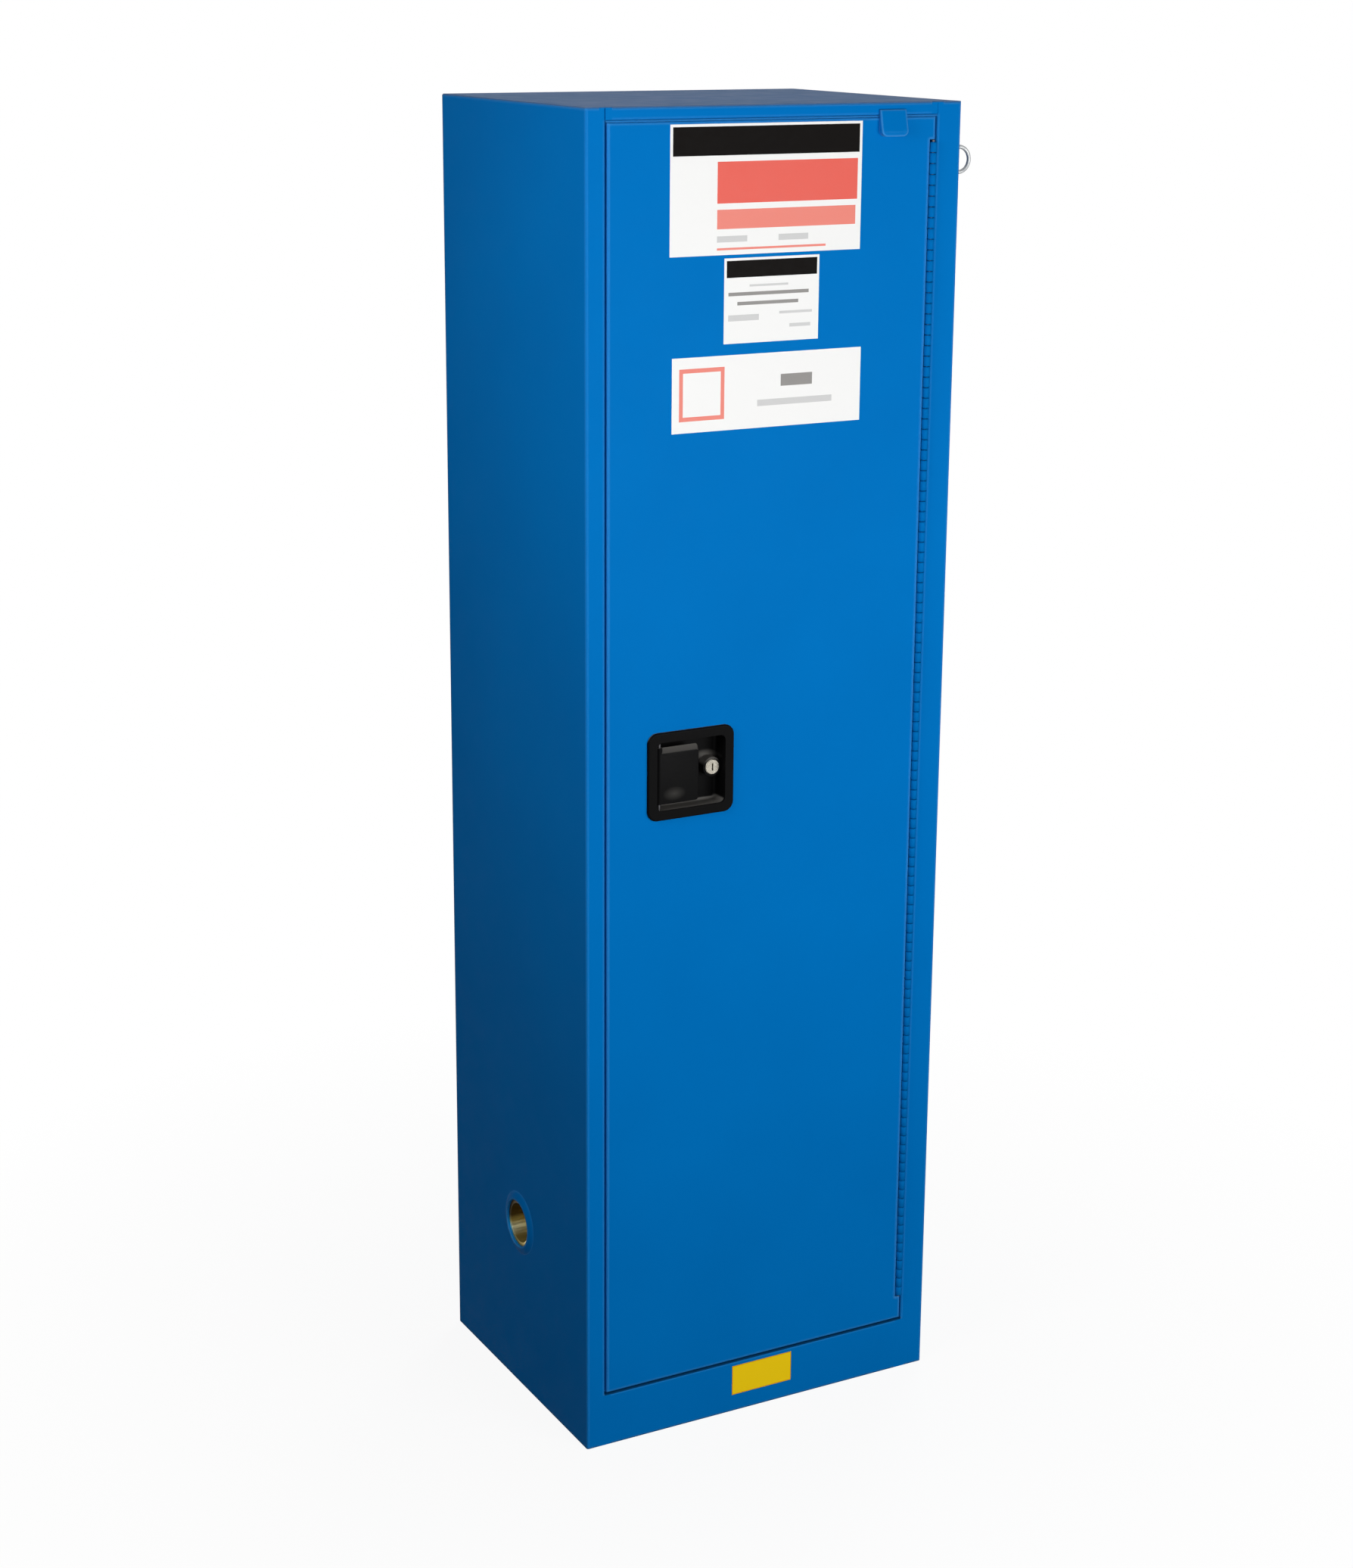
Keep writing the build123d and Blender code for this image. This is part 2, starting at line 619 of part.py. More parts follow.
def side_strike():
    """A plate behind the left jamb, with the slot that the side bolt enters."""
    back = JAMB_L - SKIN
    half = BOLT_HEIGHT / 2 + STRIKE_THICK
    plate = block(back - STRIKE_THICK, back, CAM_FRONT - STRIKE_MARGIN, STOP_FRONT - BEND_RADIUS,
                  BOLT_Z - half - STRIKE_MARGIN, BOLT_Z + half + STRIKE_MARGIN)
    slot = block(back - OVERRUN, back + OVERRUN, CAM_FRONT - STRIKE_THICK, BOLT_BACK + STRIKE_THICK,
                 BOLT_Z - half, BOLT_Z + half)
    return plate - slot


def hinge_leaf(plate_x, knuckle_x, first):
    """One hinge leaf: a long plate and every other knuckle, an eye of flats with a tab to the plate."""
    x0, x1 = plate_x
    start = HINGE_Y + BARREL_RADIUS + LEAF_CLEARANCE + LEAF_THICK
    plate = block(x0, x1, start, HINGE_Y + LEAF_WIDTH, HINGE_BOTTOM, HINGE_TOP)
    eye = RegularPolygon(BARREL_RADIUS, side_count=KNUCKLE_SIDES, major_radius=False)
    tab = Rectangle(abs(knuckle_x - x0), start - HINGE_Y)
    tab = Pos((x0 + knuckle_x) / 2, (HINGE_Y + start) / 2) * tab
    bore = RegularPolygon(PIN_RADIUS + PIN_CLEARANCE, side_count=KNUCKLE_SIDES, major_radius=False)
    outline = Pos(HINGE_X, HINGE_Y) * eye + tab - Pos(HINGE_X, HINGE_Y) * bore
    knuckle = extrude(outline, KNUCKLE_PITCH / 2 - KNUCKLE_GAP)
    low = HINGE_BOTTOM + first + KNUCKLE_GAP / 2
    knuckles = [Pos(0, 0, low + pair * KNUCKLE_PITCH) * knuckle for pair in range(HINGE_PAIRS)]
    return plate.fuse(*knuckles)


def hinge_frame_leaf():
    return hinge_leaf((JAMB_R, JAMB_R - LEAF_THICK), JAMB_R - LEAF_THICK, 0)


def hinge_door_leaf():
    return hinge_leaf((POCKET_X, POCKET_X + LEAF_THICK), POCKET_X + LEAF_THICK, KNUCKLE_PITCH / 2)


def hinge_pin():
    low = (HINGE_X, HINGE_Y, HINGE_BOTTOM - PIN_END)
    return bar(PIN_RADIUS, low, (HINGE_X, HINGE_Y, HINGE_TOP + PIN_END))


def hinge_pocket(grow):
    """The long notch in the door's hinge edge that houses the barrel."""
    end = KNUCKLE_GAP + PIN_END + grow
    return block(POCKET_X - grow, DOOR_R + OVERRUN, FACE - OVERRUN, DOOR_BACK + OVERRUN,
                 HINGE_BOTTOM - end, HINGE_TOP + end)


def bullet_holes():
    """Round cuts through the folded edges of the door for the two latch bullets."""
    holes = []
    for x, edge in ((TOP_ROD_X, DOOR_TOP), (BOTTOM_ROD_X, DOOR_BOTTOM)):
        holes.append(bar(BULLET_HOLE, (x, ROD_Y, edge - OVERRUN), (x, ROD_Y, edge + OVERRUN)))
    return holes


def door_outer_skin():
    """The door's front tray: folded edges, hinge pocket, holes for handle, bullets and side bolt."""
    tray = block(DOOR_L, DOOR_R, FACE, DOOR_BACK, DOOR_BOTTOM, DOOR_TOP)
    tray = fillet(tray.faces().sort_by(Axis.Y)[0].edges(), DOOR_EDGE_ROUND)
    tray -= hinge_pocket(0)
    room = block(DOOR_L + SKIN, DOOR_R - SKIN, FACE + SKIN, DOOR_BACK + OVERRUN,
                 DOOR_BOTTOM + SKIN, DOOR_TOP - SKIN)
    tray -= room - hinge_pocket(SKIN)
    tray -= dish_block(DISH_WALL + CUTOUT_CLEARANCE, FACE - OVERRUN, FACE + OVERRUN)
    tray -= bullet_holes()
    for x, z in screw_places():
        tray -= bar(SCREW_RADIUS, (x, FACE - OVERRUN, z), (x, FACE + OVERRUN, z))
    half = BOLT_HEIGHT / 2 + GUIDE_GAP
    return tray - block(DOOR_L - OVERRUN, DOOR_L + OVERRUN, CAM_FRONT - GUIDE_GAP, BOLT_BACK + GUIDE_GAP,
                        BOLT_Z - half, BOLT_Z + half)


def door_inner_skin():
    """The flat pan that closes the back of the door inside the folded edges of the tray."""
    x0 = DOOR_L + SKIN
    x1 = POCKET_X - SKIN
    pan = block(x0, x1, DOOR_BACK - WELD_FLANGE / 2, DOOR_BACK, DOOR_BOTTOM + SKIN, DOOR_TOP - SKIN)
    room = block(x0 + SKIN, x1 - SKIN, DOOR_BACK - WELD_FLANGE, DOOR_BACK - SKIN,
                 DOOR_BOTTOM + 2 * SKIN, DOOR_TOP - 2 * SKIN)
    return pan - room - bullet_holes()


def hold_open_catch():
    """A bent hood on the door's top edge: flat back, sloped front and a lip that a link hooks under."""
    top = DOOR_TOP + CATCH_RISE
    low = top - CATCH_HEIGHT
    side = Polygon((FACE, top), (FACE - CATCH_SHEET, top), (FACE - CATCH_REACH, low + CATCH_LIP),
                   (FACE - CATCH_REACH, low), (FACE, low), align=None)
    x0 = HINGE_X - CATCH_FROM_AXIS - CATCH_WIDTH / 2
    hood = Pos(x0, 0, 0) * extrude(Plane.YZ * side, CATCH_WIDTH, dir=(1, 0, 0))
    corners = hood.edges().filter_by(Axis.Y).group_by(Axis.Z)[0]
    hood = fillet(corners, CATCH_CORNER)
    inner = block(x0 + CATCH_SHEET, x0 + CATCH_WIDTH - CATCH_SHEET, FACE - CATCH_REACH + CATCH_SHEET,
                  FACE - CATCH_SHEET, low - OVERRUN, low + CATCH_LIP)
    return hood - inner


def handle_outline(width, height, corner):
    return Pos(HANDLE_X, HANDLE_HEIGHT) * RectangleRounded(width, height, corner)


def dish_block(grow, y0, y1):
    """The rounded block of the handle's dish, made larger all round by one amount."""
    outline = handle_outline(DISH_WIDTH + 2 * grow, DISH_HEIGHT + 2 * grow, DISH_CORNER + grow)
    return front_plate(outline, y0, y1)


def handle_bezel():
    """The moulded dish: rounded rim, deep pocket, lock boss and a window for the paddle's tail."""
    rim_front = FACE - BEZEL_PROUD
    rim = front_plate(handle_outline(BEZEL_WIDTH, BEZEL_HEIGHT, BEZEL_CORNER), rim_front, FACE)
    rim = fillet(rim.faces().sort_by(Axis.Y)[0].edges(), BEZEL_EDGE)
    hollow = dish_block(0, rim_front - OVERRUN, DISH_FLOOR)
    hollow = fillet(hollow.faces().sort_by(Axis.Y)[-1].edges(), DISH_FILLET)
    bezel = rim + dish_block(DISH_WALL, FACE, DISH_BACK) - hollow
    boss = bar(LOCK_BOSS, (LOCK_X, FACE + LOCK_BOSS_DEPTH, LOCK_Z), (LOCK_X, DISH_FLOOR, LOCK_Z))
    bezel += boss
    bezel -= bar(LOCK_RADIUS + LOCK_GAP, (LOCK_X, FACE, LOCK_Z), (LOCK_X, DISH_BACK + OVERRUN, LOCK_Z))
    tail_end = CAM_X + CAM_SWEEP / 2 + TAIL_THICK
    bezel -= block(PADDLE_X - TAIL_THICK, tail_end, DISH_FLOOR - OVERRUN, DISH_BACK + OVERRUN,
                   TAIL_BOTTOM - PADDLE_GAP, TAIL_TOP + PADDLE_GAP)
    bezel -= paddle_pin()
    for x, z in screw_places():
        bezel -= bar(SCREW_RADIUS, (x, FACE - SCREW_REACH, z), (x, FACE, z))
    return bezel


def screw_places():
    dx = (DISH_WIDTH + RIM_WIDTH) / 2
    dz = DISH_HEIGHT / 3
    return [(HANDLE_X + sx * dx, HANDLE_HEIGHT + sz * dz) for sx in (-1, 1) for sz in (-1, 1)]


def handle_clamp():
    """The steel ring behind the door sheet that the bezel is screwed to."""
    outline = handle_outline(BEZEL_WIDTH + CLAMP_MARGIN, BEZEL_HEIGHT + CLAMP_MARGIN, BEZEL_CORNER)
    plate = front_plate(outline, FACE + SKIN, FACE + SKIN + CLAMP_THICK)
    plate -= dish_block(DISH_WALL + CUTOUT_CLEARANCE, FACE, FACE + OVERRUN + CLAMP_THICK)
    for x, z in screw_places():
        plate -= bar(SCREW_RADIUS, (x, FACE, z), (x, FACE + OVERRUN, z))
    return plate


def handle_screws():
    screws = []
    seat = FACE + SKIN + CLAMP_THICK
    for x, z in screw_places():
        head = bar(SCREW_HEAD, (x, seat, z), (x, seat + SCREW_HEAD_THICK, z))
        screws.append(head + bar(SCREW_RADIUS, (x, FACE - SCREW_REACH, z), (x, seat, z)))
    return screws


def paddle_bar(radius, low, high):
    """An upright round bar on the paddle's axis."""
    return bar(radius, (PADDLE_X, PADDLE_Y, low), (PADDLE_X, PADDLE_Y, high))


def paddle():
    """The pull plate: it turns on the pin at its left edge and carries a tail that works the latch."""
    low = HANDLE_HEIGHT - PADDLE_HALF
    high = HANDLE_HEIGHT + PADDLE_HALF
    back = PADDLE_FRONT + PADDLE_THICK
    plate = block(PADDLE_X, PADDLE_X + PADDLE_WIDTH, PADDLE_FRONT, back, low, high)
    plate = fillet(plate.edges().filter_by(Axis.Y).group_by(Axis.X)[-1], PADDLE_CORNER)
    plate += paddle_bar(PADDLE_BARREL, low, high)
    plate += block(PADDLE_X - TAIL_THICK / 2, PADDLE_X + TAIL_THICK / 2, PADDLE_Y, PADDLE_Y + TAIL_LENGTH,
                   TAIL_BOTTOM, TAIL_TOP)
    plate -= paddle_bar(PADDLE_PIN + PADDLE_PIN_GAP, low, high)
    spring_room = SPRING_LENGTH / 2 + SPRING_GAP
    reach = PADDLE_PIN + PADDLE_PIN_GAP + SPRING_WALL + SPRING_GAP
    middle = spring_height()
    return plate - paddle_bar(reach, middle - spring_room, middle + spring_room)


def spring_height():
    return HANDLE_HEIGHT + PADDLE_HALF / 2


def paddle_pin():
    half = DISH_HEIGHT / 2 + DISH_WALL
    return paddle_bar(PADDLE_PIN, HANDLE_HEIGHT - half, HANDLE_HEIGHT + half)


def paddle_spring():
    """The close-wound torsion spring on the pin, drawn as one sleeve."""
    low = spring_height() - SPRING_LENGTH / 2
    high = spring_height() + SPRING_LENGTH / 2
    return paddle_bar(PADDLE_PIN + SPRING_WALL, low, high) - paddle_bar(PADDLE_PIN, low, high)


def lock_cylinder():
    """The key cylinder with its keyway and the tail that carries its cam."""
    end = DISH_BACK + LOCK_TAIL
    plug = bar(LOCK_RADIUS, (LOCK_X, LOCK_FACE, LOCK_Z), (LOCK_X, end, LOCK_Z))
    plug = chamfer(plug.faces().sort_by(Axis.Y)[0].edges(), EDGE_ROUND)
    return plug - block(LOCK_X - KEYWAY_WIDTH / 2, LOCK_X + KEYWAY_WIDTH / 2, LOCK_FACE - OVERRUN,
                        LOCK_FACE + KEYWAY_DEPTH, LOCK_Z - KEYWAY_LENGTH / 2, LOCK_Z + KEYWAY_LENGTH / 2)


def lock_cam():
    """The flat cam on the cylinder's tail, hanging down while the lock is open."""
    seat = DISH_BACK + LOCK_TAIL
    hub = Pos(LOCK_X, LOCK_Z) * Circle(LOCK_CAM_WIDTH / 2)
    tip = Pos(LOCK_X, LOCK_Z - LOCK_CAM_LENGTH) * Circle(LOCK_CAM_WIDTH / 2)
    return front_plate(make_hull(hub.edges() + tip.edges()), seat, seat + LOCK_CAM_THICK)


def cam_point(side, down, turn):
    """A point of the latch cam, given in its middle position and turned about the post."""
    swing = Vector(side, -down).rotate(Axis.Z, turn)
    return CAM_X + swing.X, CAM_Z + swing.Y


def latch_cam():
    """The cam plate with the latch shut: fork for the paddle's tail and two studs that drive the rods."""
    rest = -CAM_TURN / 2
    hub = Pos(CAM_X, CAM_Z) * Circle(CAM_HUB)
    eyes = [Pos(cam_point(side, 0, rest)) * Circle(CAM_EYE) for side in (-CAM_ARM, CAM_ARM)]
    plate = make_hull(eyes[0].edges() + hub.edges() + eyes[1].edges())
    fork = Pos(0, -(CAM_DRIVE + FORK_LENGTH) / 2) * Rectangle(FORK_WIDTH, CAM_DRIVE + FORK_LENGTH)
    slot = Pos(0, -CAM_DRIVE) * Rectangle(FORK_SLOT, 2 * FORK_LENGTH)
    arm = Pos(CAM_X, CAM_Z) * Rot(0, 0, rest) * (fork - slot)
    outline = plate + arm - Pos(CAM_X, CAM_Z) * Circle(POST_RADIUS + RUNNING_GAP)
    cam = front_plate(outline, CAM_FRONT, CAM_BACK)
    for side in (-CAM_ARM, CAM_ARM):
        x, z = cam_point(side, 0, rest)
        cam += bar(STUD_RADIUS, (x, CAM_BACK, z), (x, ROD_BACK, z))
    return cam


def latch_cam_post():
    """The shouldered post that the cam turns on, riveted to the back of the dish."""
    head = CAM_BACK + RUNNING_GAP
    post = bar(POST_RADIUS, (CAM_X, DISH_BACK, CAM_Z), (CAM_X, head, CAM_Z))
    return post + bar(POST_HEAD, (CAM_X, head, CAM_Z), (CAM_X, head + POST_HEAD_THICK, CAM_Z))


def latch_rod(x, stud_z, end_z):
    """A flat rod from a cam stud to the door's edge, with a cross slot for the stud."""
    overlap = STUD_RADIUS + STUD_PLAY + ROD_THICK
    z0 = min(stud_z - overlap, end_z)
    z1 = max(stud_z + overlap, end_z)
    rod = block(x - ROD_WIDTH / 2, x + ROD_WIDTH / 2, ROD_FRONT, ROD_BACK, z0, z1)
    play = STUD_RADIUS + STUD_PLAY
    return rod - block(x - play - STUD_PLAY, x + play + STUD_PLAY, ROD_FRONT - OVERRUN, ROD_BACK + OVERRUN,
                       stud_z - play, stud_z + play)


def top_rod():
    return latch_rod(TOP_ROD_X, CAM_Z + STUD_RISE, DOOR_TOP + LATCH_OUT - BULLET_LENGTH)


def bottom_rod():
    return latch_rod(BOTTOM_ROD_X, CAM_Z - STUD_RISE, DOOR_BOTTOM - LATCH_OUT + BULLET_LENGTH)


def bullet(x, tip, seat):
    """A round latch bullet with a domed tip on the end of a rod."""
    pin = bar(BULLET_RADIUS, (x, ROD_Y, seat), (x, ROD_Y, tip))
    rim = pin.edges().sort_by_distance((x, ROD_Y, tip))[0]
    return chamfer(rim, LATCH_OUT / 2)


def top_bullet():
    tip = DOOR_TOP + LATCH_OUT
    return bullet(TOP_ROD_X, tip, tip - BULLET_LENGTH)


def bottom_bullet():
    tip = DOOR_BOTTOM - LATCH_OUT
    return bullet(BOTTOM_ROD_X, tip, tip + BULLET_LENGTH)


def side_bolt():
    """The flat bolt that the paddle's tail draws back from the left jamb."""
    x0 = DOOR_L - LATCH_OUT
    x1 = PADDLE_X + BOLT_SLOT / 2 + BOLT_END
    bolt = block(x0, x1, CAM_FRONT, BOLT_BACK, BOLT_Z - BOLT_HEIGHT / 2, BOLT_Z + BOLT_HEIGHT / 2)
    nose = bolt.edges().filter_by(Axis.Z).group_by(Axis.X)[0].sort_by(Axis.Y)[-1]
    bolt = chamfer(nose, LATCH_OUT)
    half = BOLT_SLOT / 2
    slot = block(PADDLE_X - half, PADDLE_X + half, CAM_FRONT - OVERRUN, BOLT_BACK + OVERRUN,
                 BOLT_Z - BOLT_HEIGHT / 2 + SKIN, BOLT_Z + BOLT_HEIGHT / 2 + OVERRUN)
    return bolt - slot


def rod_guide(x, z):
    """A folded saddle on the inner skin that a rod slides through."""
    inner_half = ROD_WIDTH / 2 + GUIDE_GAP
    outer_half = inner_half + GUIDE_SHEET
    front = ROD_FRONT - GUIDE_GAP
    top = z + GUIDE_HEIGHT
    saddle = block(x - outer_half, x + outer_half, front - GUIDE_SHEET, DOOR_BACK - SKIN, z, top)
    return saddle - block(x - inner_half, x + inner_half, front, DOOR_BACK, z - OVERRUN, top + OVERRUN)


def rod_guides():
    top = [DOOR_TOP - GUIDE_FROM_END, CAM_Z + GUIDE_FROM_END]
    low = [DOOR_BOTTOM + GUIDE_FROM_END, CAM_Z - 2 * GUIDE_FROM_END]
    return [rod_guide(TOP_ROD_X, z) for z in top] + [rod_guide(BOTTOM_ROD_X, z) for z in low]


def bolt_guide():
    """The saddle that holds the side bolt against the back of the tray's left edge."""
    x0 = DOOR_L + SKIN
    x1 = x0 + GUIDE_HEIGHT
    half = BOLT_HEIGHT / 2 + GUIDE_GAP
    saddle = block(x0, x1, CAM_FRONT - GUIDE_GAP - GUIDE_SHEET, DOOR_BACK - WELD_FLANGE / 2,
                   BOLT_Z - half - GUIDE_SHEET, BOLT_Z + half + GUIDE_SHEET)
    return saddle - block(x0 - OVERRUN, x1 + OVERRUN, CAM_FRONT - GUIDE_GAP, BOLT_BACK + GUIDE_GAP,
                          BOLT_Z - half, BOLT_Z + half)


def solids_of(shape):
    """The solids of one piece, or of a group of like pieces, as one compound."""
    pieces = shape if isinstance(shape, list) else [shape]
    return Compound([solid for piece in pieces for solid in piece.solids()])


PIECES = {
    "outer_left_side": outer_left_side,
    "outer_right_side": outer_right_side,
    "outer_back": outer_back,
    "outer_top": outer_top,
    "front_top_rail": front_top_rail,
    "front_sill_rail": front_sill_rail,
    "base_pan": base_pan,
    "foot_nuts": foot_nuts,
    "liner_left_side": liner_left_side,
    "liner_right_side": liner_right_side,
    "liner_back": liner_back,
    "liner_top": liner_top,
    "sump_pan": sump_pan,
    "shelf_standards": shelf_standards,
    "shelf_clips": shelf_clips,
    "hold_open_eye": hold_open_eye,
    "hold_open_eye_nuts": hold_open_eye_nuts,
    "ground_stud": ground_stud,
    "ground_nuts": ground_nuts,
    "top_strike": top_strike,
    "bottom_strike": bottom_strike,
    "side_strike": side_strike,
    "hinge_frame_leaf": hinge_frame_leaf,
    "hinge_pin": hinge_pin,
    "hinge_door_leaf": hinge_door_leaf,
    "door_outer_skin": door_outer_skin,
    "door_inner_skin": door_inner_skin,
    "hold_open_catch": hold_open_catch,
    "handle_bezel": handle_bezel,
    "handle_clamp": handle_clamp,
    "handle_screws": handle_screws,
    "paddle": paddle,
    "paddle_pin": paddle_pin,
    "paddle_spring": paddle_spring,
    "lock_cylinder": lock_cylinder,
    "lock_cam": lock_cam,
    "latch_cam": latch_cam,
    "latch_cam_post": latch_cam_post,
    "top_rod": top_rod,
    "top_bullet": top_bullet,
    "bottom_rod": bottom_rod,
    "bottom_bullet": bottom_bullet,
    "side_bolt": side_bolt,
    "rod_guides": rod_guides,
    "bolt_guide": bolt_guide,
}

os.makedirs("parts", exist_ok=True)
for name, make in PIECES.items():
    export_step(solids_of(make()), f"parts/{name}.step")

VENTS = (("lower", X_LEFT, 1, LOWER_VENT_HEIGHT), ("upper", X_RIGHT, -1, UPPER_VENT_HEIGHT))
for name, wall, inward, z in VENTS:
    export_step(solids_of(vent_bush(wall, inward, z)), f"parts/{name}_vent_bush.step")
    export_step(solids_of(flame_arrester(wall, inward, z)), f"parts/{name}_flame_arrester.step")

for name, number in zip(("bottom", "middle", "top"), SHELF_SLOTS):
    export_step(solids_of(shelf(number)), f"parts/{name}_shelf.step")

for name, (x, y) in zip(("front_left", "front_right", "rear_left", "rear_right"), foot_places()):
    export_step(solids_of(foot(x, y)), f"parts/{name}_foot.step")
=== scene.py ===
import bmesh
import bpy
import math
from mathutils import Euler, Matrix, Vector


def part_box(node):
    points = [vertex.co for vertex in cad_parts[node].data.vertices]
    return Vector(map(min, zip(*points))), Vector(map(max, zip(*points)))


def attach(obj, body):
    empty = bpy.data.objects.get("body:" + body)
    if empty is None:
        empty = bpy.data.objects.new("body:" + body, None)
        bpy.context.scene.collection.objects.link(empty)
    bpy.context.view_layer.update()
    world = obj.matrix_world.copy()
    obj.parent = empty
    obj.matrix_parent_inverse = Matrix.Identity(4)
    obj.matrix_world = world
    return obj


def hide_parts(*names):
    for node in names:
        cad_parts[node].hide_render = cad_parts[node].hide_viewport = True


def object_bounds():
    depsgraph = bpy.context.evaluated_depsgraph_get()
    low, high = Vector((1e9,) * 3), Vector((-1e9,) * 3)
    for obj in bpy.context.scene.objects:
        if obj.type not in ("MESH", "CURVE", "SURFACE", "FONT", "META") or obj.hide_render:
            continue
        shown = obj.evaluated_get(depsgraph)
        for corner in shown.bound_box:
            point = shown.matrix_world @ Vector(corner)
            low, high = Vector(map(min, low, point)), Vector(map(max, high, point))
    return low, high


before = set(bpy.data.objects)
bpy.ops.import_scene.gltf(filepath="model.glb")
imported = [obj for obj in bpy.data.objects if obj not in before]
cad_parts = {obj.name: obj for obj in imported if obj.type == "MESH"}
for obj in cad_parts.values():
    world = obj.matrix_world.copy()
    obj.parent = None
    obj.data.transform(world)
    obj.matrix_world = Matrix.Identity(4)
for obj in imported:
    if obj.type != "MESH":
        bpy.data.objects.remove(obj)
cad_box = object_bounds()


# Outer case: two sides, back, top and the front rails of 1.2 mm steel sheet.
# Folded on a press brake, spot welded, then powder coated blue all over, which leaves
# a fine orange peel and a dull uneven gloss. The folds are painted paler, as a painted highlight.
# The top is painted darker and greyer, as painted shade with a painted grey sheen, and the sill's ledge in
# the door gap has painted shade.
sill_low, sill_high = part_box("front_sill_rail")
door_low, door_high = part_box("door_outer_skin")
NOISE_RANGE = (0.3, 0.7)
SHADE_RANGE = (0.32, 0.68)
FACES_UP = (0.22, 0.55)
# A Mix node's sockets for each kind of data: what lies under, what covers it, and the result.
MIX_SOCKETS = {"VECTOR": (4, 5, 1), "RGBA": (6, 7, 2)}
# Stiles and rails meet in ground welds, which show no fold.
SEAMS = (sill_low[0], sill_high[0])
SEAM_HALF = 0.008
SEAM_MARGIN = 0.003
FOLD_RADIUS = 0.0045
FOLD_SAMPLES = 8
FOLD_TURN = (0.998, 0.90)
# Painted shade on the sill's ledge in the door gap: full near the face, gone further back.
LEDGE_SHADE_FULL = 0.005
LEDGE_SHADE_GONE = 0.016
LEDGE_SHADE = (0.002, 0.045, 0.13)
PATCHES = 5.0
CLOUDS = 38.0
CLOUD_ROUGHNESS = 0.04
PEEL = 750.0
PEEL_STRENGTH = 0.10
PEEL_DEPTH = 0.0006
# A coat's fold colour is painted along its folds: paler, a painted highlight, on the case; darker, painted
# shade, on the hinge.
BLUE = {"dark": (0.0, 0.163, 0.515), "light": (0.0, 0.173, 0.540), "folds": (0.045, 0.275, 0.70)}
BLUE_ROUGHNESS = 0.44
BLUE_GLOSS = 0.006
# The top's coat is painted darker and greyer: painted shade with a painted grey sheen, where little light
# falls.
SHADED_TOP = {"dark": (0.012, 0.120, 0.32), "light": (0.030, 0.140, 0.37), "folds": (0.10, 0.20, 0.40)}
SHADED_TOP_ROUGHNESS = 0.52
SHADED_TOP_GLOSS = 0.075


def finish(name, colour, roughness, metallic=0.0, gloss=0.5):
    material = bpy.data.materials.new(name)
    material.use_nodes = True
    shader = material.node_tree.nodes["Principled BSDF"]
    shader.inputs["Base Color"].default_value = (*colour, 1.0)
    shader.inputs["Roughness"].default_value = roughness
    shader.inputs["Metallic"].default_value = metallic
    shader.inputs["Specular IOR Level"].default_value = gloss
    return material, material.node_tree, shader


def axes(tree, kind):
    place = tree.nodes.new("ShaderNodeTexCoord")
    split = tree.nodes.new("ShaderNodeSeparateXYZ")
    tree.links.new(place.outputs[kind], split.inputs["Vector"])
    return split.outputs


def grain(tree, scale, detail=3.0, stretch=(1.0, 1.0, 1.0)):
    place = tree.nodes.new("ShaderNodeTexCoord")
    turn = tree.nodes.new("ShaderNodeMapping")
    turn.inputs["Scale"].default_value = stretch
    noise = tree.nodes.new("ShaderNodeTexNoise")
    noise.inputs["Scale"].default_value = scale
    noise.inputs["Detail"].default_value = detail
    tree.links.new(place.outputs["Object"], turn.inputs["Vector"])
    tree.links.new(turn.outputs["Vector"], noise.inputs["Vector"])
    return noise.outputs["Fac"]


def reckon(tree, operation, *sources):
    sum_node = tree.nodes.new("ShaderNodeMath")
    sum_node.operation = operation
    for socket, source in zip(sum_node.inputs, sources):
        if isinstance(source, float):
            socket.default_value = source
        else:
            tree.links.new(source, socket)
    return sum_node.outputs["Value"]


def remap(tree, source, start, end, low=0.0, high=1.0):
    reach = tree.nodes.new("ShaderNodeMapRange")
    reach.inputs["From Min"].default_value = start
    reach.inputs["From Max"].default_value = end
    reach.inputs["To Min"].default_value = low
    reach.inputs["To Max"].default_value = high
    tree.links.new(source, reach.inputs["Value"])
    return reach.outputs["Result"]


def roughen(tree, shader, source, smooth, rough):
    tree.links.new(remap(tree, source, *NOISE_RANGE, smooth, rough), shader.inputs["Roughness"])


def ramp(tree, source, stops, socket):
    scale = tree.nodes.new("ShaderNodeValToRGB")
    marks_and_highlights = scale.color_ramp.elements
    while len(marks_and_highlights) < len(stops):
        marks_and_highlights.new(0.5)
    for mark, (position, colour) in zip(marks_and_highlights, stops):
        mark.position = position
        mark.color = (*colour, 1.0)
    tree.links.new(source, scale.inputs["Fac"])
    tree.links.new(scale.outputs["Color"], socket)


def shade(tree, source, dark, light, socket):
    ramp(tree, source, tuple(zip(SHADE_RANGE, (dark, light))), socket)


def relief(tree, source, shader, strength, depth, under=None):
    bump = tree.nodes.new("ShaderNodeBump")
    bump.inputs["Strength"].default_value = strength
    bump.inputs["Distance"].default_value = depth
    tree.links.new(source, bump.inputs["Height"])
    if under:
        tree.links.new(under, bump.inputs["Normal"])
    tree.links.new(bump.outputs["Normal"], shader.inputs["Normal"])


def mixer(tree, kind, share):
    mix = tree.nodes.new("ShaderNodeMix")
    mix.data_type = kind
    under, cover, result = MIX_SOCKETS[kind]
    tree.links.new(share, mix.inputs[0])
    return mix.inputs[under], mix.inputs[cover], mix.outputs[result]


